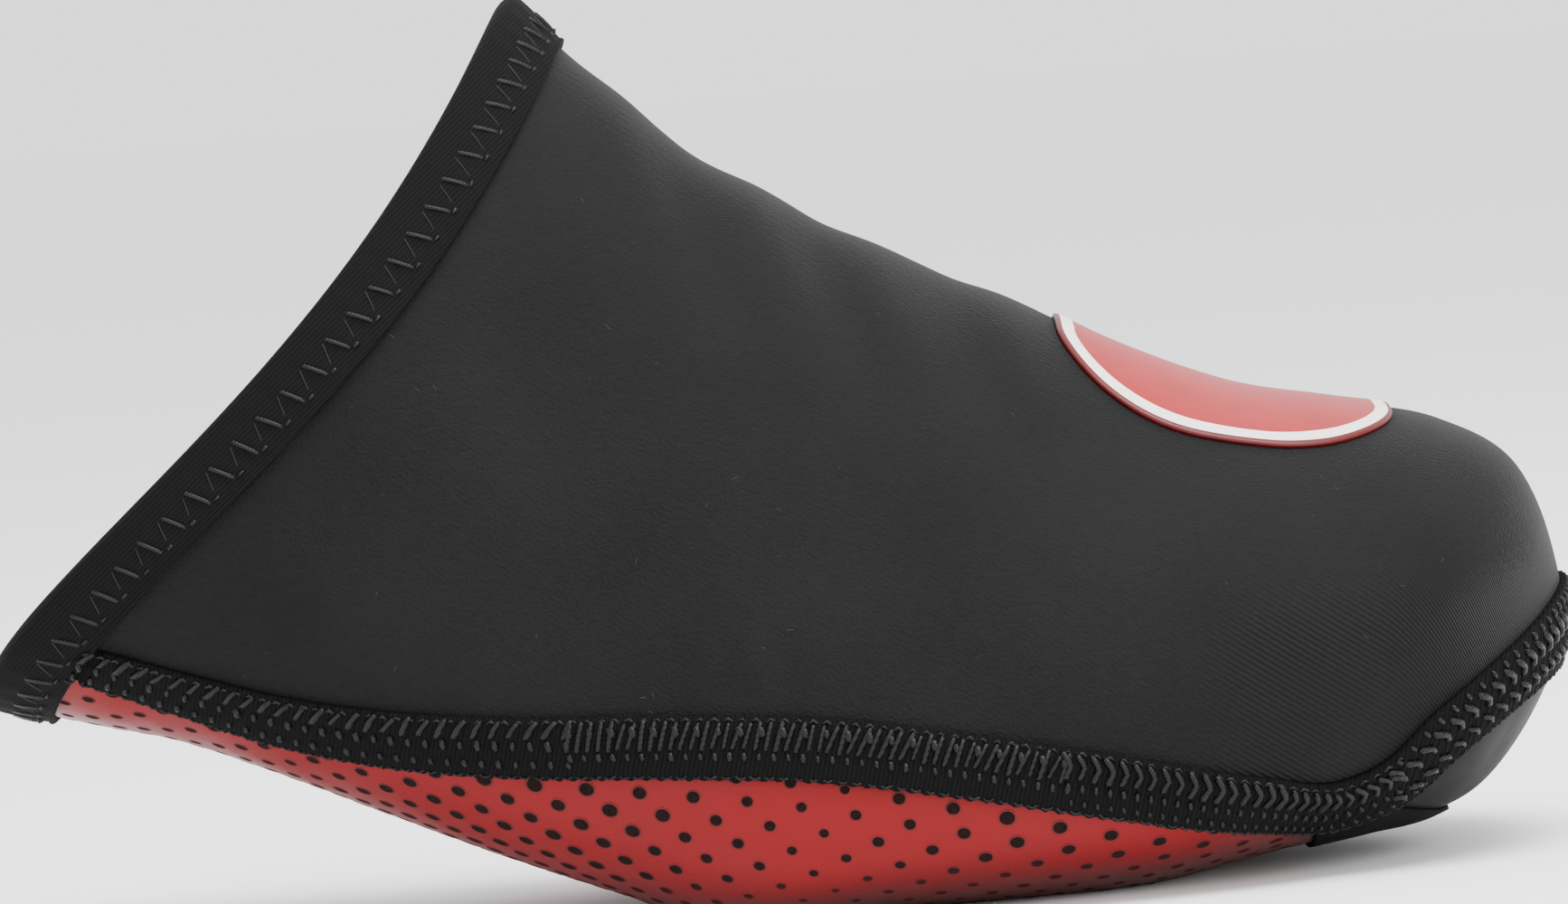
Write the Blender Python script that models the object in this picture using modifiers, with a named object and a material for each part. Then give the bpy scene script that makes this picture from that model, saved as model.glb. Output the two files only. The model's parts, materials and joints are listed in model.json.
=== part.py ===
"""Cycling toe cover: a stretch-fabric cap that pulls over the front of a cycling shoe.

It stands empty on its sole, toe towards +X, and is the same on its left and right.
Every panel is a wall of cloth worked out from one skin, the outer surface of the shoe
underneath, and the panels are parted where the maker's seams run.
"""
import math

import bmesh
import bpy
import numpy as np
from mathutils import Vector

MM = 0.001

# Driving sizes of the form
LENGTH = 178 * MM  # rear lobes of the hem to the toe tip, along the ground
COLLAR_HEIGHT = 104 * MM  # ground to the highest point of the collar
BALL_WIDTH = 90 * MM  # across the ball of the foot

# Cloth and trim
UPPER_WALL = 1.5 * MM
SOLE_WALL = 1.8 * MM
TOE_GUARD_WALL = 1.6 * MM
BINDING_WIDTH = 7.0 * MM
BINDING_THICKNESS = 0.6 * MM
SEAM_WIDTH = 7.0 * MM
SEAM_THICKNESS = 0.8 * MM
FOLD_LENGTH = 17.0 * MM  # folded band under the toe, along the shoe
FOLD_THICKNESS = 0.8 * MM
PATCH_LENGTH = 37.0 * MM
PATCH_WIDTH = 45.0 * MM
PATCH_CORNER = 15.0 * MM
PATCH_THICKNESS = 0.4 * MM
OPENING_LENGTH = 40.0 * MM  # hole in the sole for the cleat
OPENING_WIDTH = 38.0 * MM
OPENING_CORNER = 10.0 * MM

# Clearances
SEAM_GAP = 0.3 * MM  # between the cut edges of two panels
LAY_GAP = 0.3 * MM  # under a strip that lies on a panel

# Places along the shoe, as shares of LENGTH from the rear
TOE_SPLIT = 0.871  # where the sole ends and the toe guard begins
PATCH_PLACE = 0.795
OPENING_PLACE = 0.582

# Shapes that have no size of their own
LOBE_RISE = 0.2  # how high the lobe reaches furthest back, as a share of the section
FOLD_BULGE = 0.6  # how far the binding's fold stands out, as a share of half its height
PATCH_FLOOR = 0.2  # the patch is cut from the cloth above this share of COLLAR_HEIGHT

# Fineness of the mesh
STATIONS = 36
RING_POINTS = 40
SEAM_POINTS = 32
CORNER_SEGMENTS = 5
FOLD_SEGMENTS = 4
SHARP_ANGLE = math.radians(50)
MERGE = 1e-6
REACH = 0.5 * LENGTH  # how far a cutter sticks out past the cloth
STEP = 1e-4  # small move along the skin, for slopes and normals

# Sections of the skin from the collar to the toe. Each one is a tilted oval whose lowest
# and highest points lie in the middle plane.
SECTION_COLUMNS = (
    "station",  # 0 at the collar edge, 1 at the closed end of the toe
    "base_along",  # lowest point, share of LENGTH from the rear
    "base_height",  # lowest point, share of COLLAR_HEIGHT
    "crown_along",  # highest point, share of LENGTH
    "crown_height",  # highest point, share of COLLAR_HEIGHT
    "width",  # share of BALL_WIDTH
    "widest",  # where it is widest, share of the way from base to crown
    "crown_round",  # 2 is an ellipse, more is boxier
    "base_round",
    "hollow",  # how far the middle of the side is drawn towards the toe, share of LENGTH
    "lobe",  # how far the lower corner reaches back, share of LENGTH
)
SECTIONS = (
    (0.000, 0.000, 0.290, 0.366, 1.000, 0.778, 0.38, 2.00, 2.6, 0.037, 0.025),
    (0.045, 0.054, 0.260, 0.391, 0.952, 0.784, 0.38, 2.00, 2.6, 0.033, 0.022),
    (0.110, 0.111, 0.233, 0.426, 0.892, 0.804, 0.38, 2.00, 2.6, 0.025, 0.015),
    (0.180, 0.168, 0.193, 0.468, 0.825, 0.833, 0.38, 2.00, 2.7, 0.014, 0.007),
    (0.270, 0.239, 0.137, 0.534, 0.752, 0.873, 0.37, 2.00, 2.8, 0.005, 0.001),
    (0.360, 0.308, 0.084, 0.601, 0.688, 0.916, 0.37, 2.00, 3.0, 0.000, 0.000),
    (0.450, 0.378, 0.035, 0.667, 0.632, 0.951, 0.37, 2.00, 3.2, 0.000, 0.000),
    (0.540, 0.450, -0.009, 0.734, 0.567, 0.978, 0.37, 2.00, 3.4, 0.000, 0.000),
    (0.630, 0.543, -0.009, 0.801, 0.517, 1.000, 0.37, 2.05, 3.4, 0.000, 0.000),
    (0.720, 0.630, -0.009, 0.866, 0.491, 0.984, 0.38, 2.10, 3.4, 0.000, 0.000),
    (0.800, 0.715, -0.009, 0.932, 0.463, 0.922, 0.39, 2.15, 3.0, 0.000, 0.000),
    (0.870, 0.799, 0.012, 0.979, 0.405, 0.811, 0.41, 2.15, 2.6, 0.000, 0.000),
    (0.920, 0.858, 0.024, 0.996, 0.322, 0.667, 0.43, 2.10, 2.4, 0.000, 0.000),
    (0.955, 0.905, 0.036, 1.000, 0.251, 0.489, 0.45, 2.00, 2.2, 0.000, 0.000),
    (0.982, 0.942, 0.068, 0.993, 0.196, 0.267, 0.50, 2.00, 2.0, 0.000, 0.000),
    (1.000, 0.973, 0.128, 0.973, 0.128, 0.000, 0.50, 2.00, 2.0, 0.000, 0.000),
)

# The seam between the upper and what is under it, seen from the side. The strip over it
# looks narrower where the cloth slants away from the side.
SEAM_COLUMNS = (
    "along",  # share of LENGTH
    "height",  # share of COLLAR_HEIGHT
    "strip",  # width of the strip in the side view, share of SEAM_WIDTH
)
SEAM_LINE = (
    (-0.030, 0.380, 0.55),
    (0.069, 0.337, 0.57),
    (0.125, 0.300, 0.66),
    (0.181, 0.265, 0.77),
    (0.248, 0.237, 0.86),
    (0.333, 0.217, 0.93),
    (0.422, 0.206, 0.98),
    (0.518, 0.190, 1.00),
    (0.608, 0.161, 1.00),
    (0.698, 0.126, 0.98),
    (0.788, 0.090, 0.88),
    (0.838, 0.078, 0.80),
    (0.872, 0.096, 0.78),
    (0.906, 0.140, 0.80),
    (0.945, 0.184, 0.82),
    (0.979, 0.219, 0.92),
    (1.000, 0.242, 1.00),
    (1.040, 0.285, 1.00),
)


def column(table, columns, name):
    """One named column of a table, as an array."""
    return np.array([row[columns.index(name)] for row in table])


def smooth_read(at, known, values):
    """Reads a smooth curve through the table's rows: a Hermite curve with averaged slopes."""
    slopes = np.gradient(values, known)
    row = int(np.clip(np.searchsorted(known, at) - 1, 0, len(known) - 2))
    span = known[row + 1] - known[row]
    t = (at - known[row]) / span
    start, end = values[row], values[row + 1]
    rise, fall = slopes[row] * span, slopes[row + 1] * span
    return (
        (2 * t**3 - 3 * t**2 + 1) * start
        + (t**3 - 2 * t**2 + t) * rise
        + (3 * t**2 - 2 * t**3) * end
        + (t**3 - t**2) * fall
    )


def section(station):
    """The named values of the section at a station."""
    known = column(SECTIONS, SECTION_COLUMNS, "station")
    return {
        name: smooth_read(station, known, column(SECTIONS, SECTION_COLUMNS, name))
        for name in SECTION_COLUMNS[1:]
    }


def place_along(share):
    """X of a share of LENGTH, with the origin under the middle of the cover."""
    return (share - 0.5) * LENGTH


def skin_point(station, turn):
    """A point of the outer skin. The turn runs from 0 under the sole, by -Y, to 0.5 on top."""
    shape = section(station)
    across, up = math.sin(2 * math.pi * turn), math.cos(2 * math.pi * turn)
    power = 2 / (shape["base_round"] if up > 0 else shape["crown_round"])
    side = -math.copysign(abs(across) ** power, across)
    reach = shape["widest"] if up > 0 else 1 - shape["widest"]
    rise = shape["widest"] - math.copysign(reach * abs(up) ** power, up)
    hollow = shape["hollow"] * 4 * rise * (1 - rise)
    lobe = shape["lobe"] * (rise / LOBE_RISE) * ((1 - rise) / (1 - LOBE_RISE)) ** 4
    base_x, crown_x = place_along(shape["base_along"]), place_along(shape["crown_along"])
    base_z = shape["base_height"] * COLLAR_HEIGHT
    crown_z = shape["crown_height"] * COLLAR_HEIGHT
    return Vector((
        base_x + (crown_x - base_x) * rise + (hollow - lobe) * LENGTH,
        side * max(shape["width"], 0) * BALL_WIDTH / 2,
        max(base_z + (crown_z - base_z) * rise, 0),
    ))


def inset_station(turn, distance):
    """The station that lies a distance in from the collar edge."""
    slope = (skin_point(STEP, turn) - skin_point(0, turn)).length / STEP
    return distance / slope


def new_object(name, bm, collection):
    """A mesh object made from a bmesh, which is freed."""
    mesh = bpy.data.meshes.new(name)
    bm.to_mesh(mesh)
    bm.free()
    thing = bpy.data.objects.new(name, mesh)
    collection.objects.link(thing)
    return thing


def skin_object(name, collection, lift=0.0, rim_inset=0.0):
    """The open skin as a mesh: rings from the collar to the toe, lifted along its normals."""
    bm = bmesh.new()
    rings = []
    for k in range(STATIONS + 1):
        ring = []
        for j in range(RING_POINTS):
            turn = j / RING_POINTS
            start = inset_station(turn, rim_inset)
            station = start + (1 - start) * k / STATIONS
            ring.append(bm.verts.new(skin_point(station, turn)))
        rings.append(ring)
    for near, far in zip(rings, rings[1:]):
        for j in range(RING_POINTS):
            after = (j + 1) % RING_POINTS
            bm.faces.new((near[j], near[after], far[after], far[j]))
    bmesh.ops.remove_doubles(bm, verts=rings[-1], dist=MERGE)
    bmesh.ops.recalc_face_normals(bm, faces=bm.faces)
    bm.normal_update()
    for vert in bm.verts:
        vert.co += vert.normal * lift
    return new_object(name, bm, collection)


def add_wall(thing, thickness, outwards=False):
    """Gives an open skin its wall."""
    wall = thing.modifiers.new("wall", "SOLIDIFY")
    wall.thickness = thickness
    wall.offset = 1 if outwards else -1
    wall.use_even_offset = True


def cut(thing, cutter, operation):
    """Cuts a solid with a cutter, which is only drawn as a wire."""
    boolean = thing.modifiers.new(cutter.name, "BOOLEAN")
    boolean.operation = operation
    boolean.object = cutter
    boolean.solver = "EXACT"


def finish(thing, colour, roughness):
    """Material and smooth shading of a piece."""
    material = bpy.data.materials.new(thing.name)
    material.use_nodes = True
    shader = material.node_tree.nodes["Principled BSDF"]
    shader.inputs["Base Color"].default_value = (*colour, 1)
    shader.inputs["Roughness"].default_value = roughness
    shader.inputs["Metallic"].default_value = 0
    thing.data.materials.append(material)
    thing.data.shade_smooth()
    thing.data.set_sharp_from_angle(angle=SHARP_ANGLE)
    return thing


def side_outline_cutter(name, outline, collection):
    """A cutter with this outline in the side view, going right through from side to side."""
    bm = bmesh.new()
    near = [bm.verts.new((x, -REACH, z)) for x, z in outline]
    face = bm.faces.new(near)
    swept = bmesh.ops.extrude_face_region(bm, geom=[face])
    for item in swept["geom"]:
        if isinstance(item, bmesh.types.BMVert):
            item.co.y = REACH
    bmesh.ops.recalc_face_normals(bm, faces=bm.faces)
    return as_cutter(new_object(name, bm, collection))


def rounded_cutter(name, place, length, width, corner, heights, collection):
    """An upright cutter between two heights, a rounded rectangle seen from above."""
    low, high = heights
    bm = bmesh.new()
    bmesh.ops.create_cube(bm, size=1)
    for vert in bm.verts:
        z = low if vert.co.z < 0 else high
        vert.co = Vector((place_along(place) + vert.co.x * length, vert.co.y * width, z))
    upright = [e for e in bm.edges if e.verts[0].co.z != e.verts[1].co.z]
    bmesh.ops.bevel(bm, geom=upright, offset=corner, segments=CORNER_SEGMENTS,
                    profile=0.5, affect="EDGES")
    return as_cutter(new_object(name, bm, collection))


def as_cutter(thing):
    """Marks an object as a cutter."""
    thing.hide_render = True
    thing.display_type = "WIRE"
    return thing


def seam_read(share, name):
    """A named value of the seam at a share of LENGTH."""
    known = column(SEAM_LINE, SEAM_COLUMNS, "along")
    return smooth_read(share, known, column(SEAM_LINE, SEAM_COLUMNS, name))


def seam_height(share):
    """Height of the seam's middle line at a share of LENGTH."""
    return seam_read(share, "height") * COLLAR_HEIGHT


def seam_line(gap=0.0, half_strips=0, first=SEAM_LINE[0][0], last=SEAM_LINE[-1][0]):
    """The seam in the side view, moved up across its own run by a gap and by half strips."""
    line = []
    for k in range(SEAM_POINTS + 1):
        share = first + (last - first) * k / SEAM_POINTS
        offset = gap + half_strips * seam_read(share, "strip") * SEAM_WIDTH / 2
        x, z = place_along(share), seam_height(share)
        run = Vector((STEP * LENGTH, seam_height(share + STEP) - z)).normalized()
        line.append((x - run.y * offset, z + run.x * offset))
    return line


def build_upper(parts, cutters):
    """Black stretch upper: all of the skin above the seam, open at the collar."""
    upper = skin_object("upper", parts)
    add_wall(upper, UPPER_WALL)
    line = seam_line(SEAM_GAP / 2)
    top = COLLAR_HEIGHT + REACH
    outline = line + [(line[-1][0], top), (line[0][0], top)]
    cut(upper, side_outline_cutter("above_seam", outline, cutters), "INTERSECT")
    return finish(upper, (0.032, 0.032, 0.034), 0.85)


def build_sole(parts, cutters):
    """Red perforated sole: below the seam and behind the toe guard, with the cleat's hole."""
    sole = skin_object("sole", parts)
    add_wall(sole, SOLE_WALL)
    line = seam_line(-SEAM_GAP / 2, last=TOE_SPLIT)
    front = place_along(TOE_SPLIT) - SEAM_GAP / 2
    line = [point for point in line if point[0] < front]
    join = seam_height(TOE_SPLIT) - SEAM_GAP / 2
    outline = line + [(front, join), (front, -REACH), (line[0][0], -REACH)]
    cut(sole, side_outline_cutter("below_seam", outline, cutters), "INTERSECT")
    heights = (-SOLE_WALL, 3 * SOLE_WALL)
    hole = rounded_cutter("cleat_hole", OPENING_PLACE, OPENING_LENGTH, OPENING_WIDTH,
                          OPENING_CORNER, heights, cutters)
    cut(sole, hole, "DIFFERENCE")
    return finish(sole, (0.38, 0.045, 0.05), 0.5)


def build_toe_guard(parts, cutters):
    """Black smooth guard round the bottom of the toe, below the seam."""
    guard = skin_object("toe_guard", parts)
    add_wall(guard, TOE_GUARD_WALL)
    line = seam_line(-SEAM_GAP / 2, first=TOE_SPLIT)
    rear = place_along(TOE_SPLIT) + SEAM_GAP / 2
    line = [point for point in line if point[0] > rear]
    join = seam_height(TOE_SPLIT) - SEAM_GAP / 2
    outline = [(rear, -REACH), (rear, join)] + line + [(line[-1][0], -REACH)]
    cut(guard, side_outline_cutter("toe_below_seam", outline, cutters), "INTERSECT")
    return finish(guard, (0.045, 0.045, 0.048), 0.6)


def build_side_seam(parts, cutters):
    """Raised flat seam that runs from the hem round the toe and back, over the panels' edges."""
    seam = skin_object("side_seam", parts, LAY_GAP, BINDING_WIDTH + SEAM_GAP)
    add_wall(seam, SEAM_THICKNESS, outwards=True)
    outline = seam_line(half_strips=1) + seam_line(half_strips=-1)[::-1]
    cut(seam, side_outline_cutter("seam_band", outline, cutters), "INTERSECT")
    return finish(seam, (0.02, 0.02, 0.021), 0.9)


def build_toe_fold(parts, cutters):
    """Folded band across the underside, over the join of the sole and the toe guard."""
    fold = skin_object("toe_fold", parts, LAY_GAP)
    add_wall(fold, FOLD_THICKNESS, outwards=True)
    half = FOLD_LENGTH / 2 / LENGTH
    line = seam_line(-SEAM_GAP, -1, TOE_SPLIT - half, TOE_SPLIT + half)
    outline = line + [(line[-1][0], -REACH), (line[0][0], -REACH)]
    cut(fold, side_outline_cutter("fold_band", outline, cutters), "INTERSECT")
    return finish(fold, (0.018, 0.018, 0.019), 0.85)


def binding_profile():
    """The binding cut across: (distance in from the collar edge, lift off the skin)."""
    outer = LAY_GAP
    inner = -max(UPPER_WALL, SOLE_WALL) - LAY_GAP
    middle, half = (outer + inner) / 2, (outer - inner) / 2 + BINDING_THICKNESS
    profile = [(BINDING_WIDTH, outer), (BINDING_WIDTH, outer + BINDING_THICKNESS)]
    for k in range(FOLD_SEGMENTS + 1):
        turn = math.pi * (0.5 + k / FOLD_SEGMENTS)
        profile.append((FOLD_BULGE * half * math.cos(turn) - LAY_GAP, middle + half * math.sin(turn)))
    profile += [(BINDING_WIDTH, inner - BINDING_THICKNESS), (BINDING_WIDTH, inner)]
    profile += [(-LAY_GAP, inner), (-LAY_GAP, outer)]
    return profile


def build_collar_binding(parts):
    """Folded tape round the collar: two leaves, joined by a round fold past the edge."""
    profile = binding_profile()
    bm = bmesh.new()
    rings = []
    for j in range(RING_POINTS):
        turn = j / RING_POINTS
        edge = skin_point(0, turn)
        inwards = (skin_point(STEP, turn) - edge).normalized()
        around = (skin_point(0, turn + STEP) - skin_point(0, turn - STEP)).normalized()
        outwards = inwards.cross(around).normalized()
        ring = []
        for along, lift in profile:
            if along > 0:
                foot = skin_point(inset_station(turn, along), turn)
            else:
                foot = edge + inwards * along
            ring.append(bm.verts.new(foot + outwards * lift))
        rings.append(ring)
    for j, ring in enumerate(rings):
        after = rings[(j + 1) % RING_POINTS]
        for i in range(len(profile)):
            following = (i + 1) % len(profile)
            bm.faces.new((ring[i], after[i], after[following], ring[following]))
    bmesh.ops.recalc_face_normals(bm, faces=bm.faces)
    return finish(new_object("collar_binding", bm, parts), (0.02, 0.02, 0.021), 0.8)


def build_toe_patch(parts, cutters):
    """Red transfer patch on top of the toe."""
    patch = skin_object("toe_patch", parts, LAY_GAP)
    add_wall(patch, PATCH_THICKNESS, outwards=True)
    heights = (PATCH_FLOOR * COLLAR_HEIGHT, COLLAR_HEIGHT + REACH)
    outline = rounded_cutter("patch_outline", PATCH_PLACE, PATCH_LENGTH, PATCH_WIDTH,
                             PATCH_CORNER, heights, cutters)
    cut(patch, outline, "INTERSECT")
    return finish(patch, (0.6, 0.05, 0.06), 0.45)


def main():
    for thing in list(bpy.data.objects):
        bpy.data.objects.remove(thing, do_unlink=True)
    parts = bpy.data.collections.new("cycling_toe_cover")
    cutters = bpy.data.collections.new("cutters")
    for collection in (parts, cutters):
        bpy.context.scene.collection.children.link(collection)
    build_upper(parts, cutters)
    build_sole(parts, cutters)
    build_toe_guard(parts, cutters)
    build_side_seam(parts, cutters)
    build_toe_fold(parts, cutters)
    build_collar_binding(parts)
    build_toe_patch(parts, cutters)


main()
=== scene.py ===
# %% [markdown]
# # A stretch cap for the toe of a cycling shoe
# The cover is a short sock of black stretch cloth with a red grip sole. It pulls over the
# front of a shoe. This lesson rebuilds how it looks, piece by piece, on top of the solid
# model, which is loaded first and stays fixed.

# %% Load the solid model
import json
import math

import bmesh
import bpy
import numpy as np
from mathutils import Matrix, Vector
from mathutils.bvhtree import BVHTree

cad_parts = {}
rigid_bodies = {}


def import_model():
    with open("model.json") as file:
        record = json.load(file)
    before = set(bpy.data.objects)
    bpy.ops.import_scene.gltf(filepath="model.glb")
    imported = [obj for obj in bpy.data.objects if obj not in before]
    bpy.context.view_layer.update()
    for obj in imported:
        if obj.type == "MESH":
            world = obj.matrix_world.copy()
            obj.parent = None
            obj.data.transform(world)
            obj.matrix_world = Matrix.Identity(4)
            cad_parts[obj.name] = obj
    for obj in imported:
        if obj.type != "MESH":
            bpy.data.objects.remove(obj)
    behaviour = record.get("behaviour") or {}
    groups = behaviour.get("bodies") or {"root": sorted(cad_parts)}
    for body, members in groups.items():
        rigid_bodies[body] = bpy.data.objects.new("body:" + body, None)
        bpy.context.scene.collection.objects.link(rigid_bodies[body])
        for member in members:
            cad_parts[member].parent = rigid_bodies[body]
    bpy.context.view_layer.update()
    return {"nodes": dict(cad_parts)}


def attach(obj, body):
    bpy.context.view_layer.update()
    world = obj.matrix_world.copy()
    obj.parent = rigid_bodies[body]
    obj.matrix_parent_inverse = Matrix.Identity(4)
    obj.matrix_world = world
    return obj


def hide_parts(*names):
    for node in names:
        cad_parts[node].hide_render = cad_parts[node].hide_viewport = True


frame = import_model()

print("solid pieces:", ", ".join(sorted(frame["nodes"])))

# %% [markdown]
# ## Sizes
# A pattern cutter writes the sizes down before the first cut. All lengths are in metres,
# and MM turns millimetres into metres. X runs from the hem to the toe, Z is up.

# %% Sizes of the cover
MM = 0.001
LENGTH = 178 * MM
COLLAR_HEIGHT = 104 * MM
BALL_WIDTH = 90 * MM
LAY_GAP = 0.3 * MM
SEAM_GAP = 0.3 * MM
TOE_SPLIT = 0.871
LOBE_RISE = 0.2

# %% [markdown]
# ## Colours and nodes
# Colours are written as the hex codes of a paint chart, and shaders want linear light, so
# one function turns one into the other. A second one adds a node to a material.

# %% Two helpers for materials
def linear(code):
    """Turns a hex colour such as 2B2B2D into linear red, green, blue and alpha."""
    shares = [int(code[i:i + 2], 16) / 255 for i in (0, 2, 4)]
    light = [c / 12.92 if c <= 0.04045 else ((c + 0.055) / 1.055) ** 2.4 for c in shares]
    return (*light, 1.0)


def add_node(tree, kind, sockets=None, settings=None, **values):
    """Adds a node with its settings. A socket is given a value, or is linked to another."""
    node = tree.nodes.new(kind)
    for name, value in (settings or {}).items():
        setattr(node, name, value)
    named = {name.replace("_", " "): value for name, value in values.items()}
    for name, value in {**(sockets or {}), **named}.items():
        if isinstance(value, bpy.types.NodeSocket):
            tree.links.new(value, node.inputs[name])
        else:
            node.inputs[name].default_value = value
    return node


print("mid black cloth in linear light:", [round(c, 4) for c in linear("2B2B2D")[:3]])

# %% [markdown]
# ## Floor and light
# The cover was photographed in soft, even light. A wide pale floor and a pale
# surround of the same tone leave nothing to look at but the cover.

# %% Floor
def plain_material(name, code, roughness):
    """A painted surface of one colour, for the floor alone."""
    material = bpy.data.materials.new(name)
    material.use_nodes = True
    shader = material.node_tree.nodes["Principled BSDF"]
    shader.inputs["Base Color"].default_value = linear(code)
    shader.inputs["Roughness"].default_value = roughness
    return material


def studio_floor(reach):
    """A wide flat floor just under the cover."""
    mesh = bpy.data.meshes.new("studio_floor")
    corners = [(-reach, -reach, 0), (reach, -reach, 0), (reach, reach, 0), (-reach, reach, 0)]
    mesh.from_pydata([(x, y, z - 0.05 * MM) for x, y, z in corners], [], [(0, 1, 2, 3)])
    thing = bpy.data.objects.new("studio_floor", mesh)
    bpy.context.scene.collection.objects.link(thing)
    mesh.materials.append(plain_material("matt pale paint", "FCFCFC", 0.9))
    return thing


floor = studio_floor(30.0)

# %% Surround and lamps
surround = bpy.data.worlds.new("pale surround")
surround.use_nodes = True
background = surround.node_tree.nodes["Background"]
background.inputs["Color"].default_value = linear("FFFFFF")
background.inputs["Strength"].default_value = 1.8
bpy.context.scene.world = surround


def soft_lamp(name, place, aim, size, power):
    """A square soft lamp at a place, turned to an aim point."""
    lamp = bpy.data.lights.new(name, "AREA")
    lamp.shape = "SQUARE"
    lamp.size = size
    lamp.energy = power
    thing = bpy.data.objects.new(name, lamp)
    thing.location = place
    thing.rotation_euler = (Vector(aim) - Vector(place)).to_track_quat("-Z", "Y").to_euler()
    bpy.context.scene.collection.objects.link(thing)
    return thing


soft_lamp("top_lamp", (0.25, -0.35, 1.1), (0, 0, 0.04), 0.7, 26.0)
soft_lamp("front_lamp", (0.7, -1.1, 0.45), (0.02, 0, 0.04), 0.8, 11.0)

# %% [markdown]
# ## Camera
# A long lens about a metre away looks level at the side of the cover, and the
# picture is rolled a little, so that the toe is lifted.

# %% Camera
CAMERA_HEIGHT_ANGLE = math.radians(2.5)
CAMERA_ROLL = math.radians(4.9)
CAMERA_DISTANCE = 1.0
FIELD_WIDTH = 178.6 * MM
PIXEL = FIELD_WIDTH / 1734


def side_camera():
    """The camera of the side view: level, a metre away, rolled."""
    lens = bpy.data.cameras.new("side_camera")
    lens.sensor_width = 36
    lens.lens = 36 * CAMERA_DISTANCE / FIELD_WIDTH
    back = Vector((0, -math.cos(CAMERA_HEIGHT_ANGLE), math.sin(CAMERA_HEIGHT_ANGLE)))
    right = Vector((1, 0, 0))
    up = back.cross(right)
    rolled_right = right * math.cos(CAMERA_ROLL) - up * math.sin(CAMERA_ROLL)
    rolled_up = up * math.cos(CAMERA_ROLL) + right * math.sin(CAMERA_ROLL)
    aim = Vector((0.2 * MM, 0, 50 * MM)) + rolled_right * 20 * PIXEL + rolled_up * 8 * PIXEL
    turned = Matrix((rolled_right, rolled_up, back)).transposed().to_4x4()
    thing = bpy.data.objects.new("side_camera", lens)
    thing.matrix_world = Matrix.Translation(aim + back * CAMERA_DISTANCE) @ turned
    bpy.context.scene.collection.objects.link(thing)
    return thing


bpy.context.scene.camera = side_camera()
print("lens:", round(bpy.context.scene.camera.data.lens, 1), "mm")

# %% [markdown]
# ## The skin
# Cloth that is stretched over a shoe takes the shape of the shoe. So everything starts from
# one skin, given by tilted oval sections from the collar to the toe. Each row of the table
# is one section, in shares of the length, the height and the width.

# %% Sections of the skin
SECTION_COLUMNS = (
    "station", "base_along", "base_height", "crown_along", "crown_height", "width",
    "widest", "crown_round", "base_round", "hollow", "lobe",
)
SECTIONS = (
    (0.000, 0.000, 0.290, 0.366, 1.000, 0.778, 0.38, 2.00, 2.6, 0.037, 0.025),
    (0.045, 0.054, 0.260, 0.391, 0.952, 0.784, 0.38, 2.00, 2.6, 0.033, 0.022),
    (0.110, 0.111, 0.233, 0.426, 0.892, 0.804, 0.38, 2.00, 2.6, 0.025, 0.015),
    (0.180, 0.168, 0.193, 0.468, 0.825, 0.833, 0.38, 2.00, 2.7, 0.014, 0.007),
    (0.270, 0.239, 0.137, 0.534, 0.752, 0.873, 0.37, 2.00, 2.8, 0.005, 0.001),
    (0.360, 0.308, 0.084, 0.601, 0.688, 0.916, 0.37, 2.00, 3.0, 0.000, 0.000),
    (0.450, 0.378, 0.035, 0.667, 0.632, 0.951, 0.37, 2.00, 3.2, 0.000, 0.000),
    (0.540, 0.450, -0.009, 0.734, 0.567, 0.978, 0.37, 2.00, 3.4, 0.000, 0.000),
    (0.630, 0.543, -0.009, 0.801, 0.517, 1.000, 0.37, 2.05, 3.4, 0.000, 0.000),
    (0.720, 0.630, -0.009, 0.866, 0.491, 0.984, 0.38, 2.10, 3.4, 0.000, 0.000),
    (0.800, 0.715, -0.009, 0.932, 0.463, 0.922, 0.39, 2.15, 3.0, 0.000, 0.000),
    (0.870, 0.799, 0.012, 0.979, 0.405, 0.811, 0.41, 2.15, 2.6, 0.000, 0.000),
    (0.920, 0.858, 0.024, 0.996, 0.322, 0.667, 0.43, 2.10, 2.4, 0.000, 0.000),
    (0.955, 0.905, 0.036, 1.000, 0.251, 0.489, 0.45, 2.00, 2.2, 0.000, 0.000),
    (0.982, 0.942, 0.068, 0.993, 0.196, 0.267, 0.50, 2.00, 2.0, 0.000, 0.000),
    (1.000, 0.973, 0.128, 0.973, 0.128, 0.000, 0.50, 2.00, 2.0, 0.000, 0.000),
)

# %% The seam in the side view
SEAM_COLUMNS = ("along", "height", "strip")
SEAM_LINE = (
    (-0.030, 0.380, 0.55), (0.069, 0.337, 0.57), (0.125, 0.300, 0.66), (0.181, 0.265, 0.77),
    (0.248, 0.237, 0.86), (0.333, 0.217, 0.93), (0.422, 0.206, 0.98), (0.518, 0.190, 1.00),
    (0.608, 0.161, 1.00), (0.698, 0.126, 0.98), (0.788, 0.090, 0.88), (0.838, 0.078, 0.80),
    (0.872, 0.096, 0.78), (0.906, 0.140, 0.80), (0.945, 0.184, 0.82), (0.979, 0.219, 0.92),
    (1.000, 0.242, 1.00), (1.040, 0.285, 1.00),
)
SEAM_WIDTH = 7.0 * MM

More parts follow.
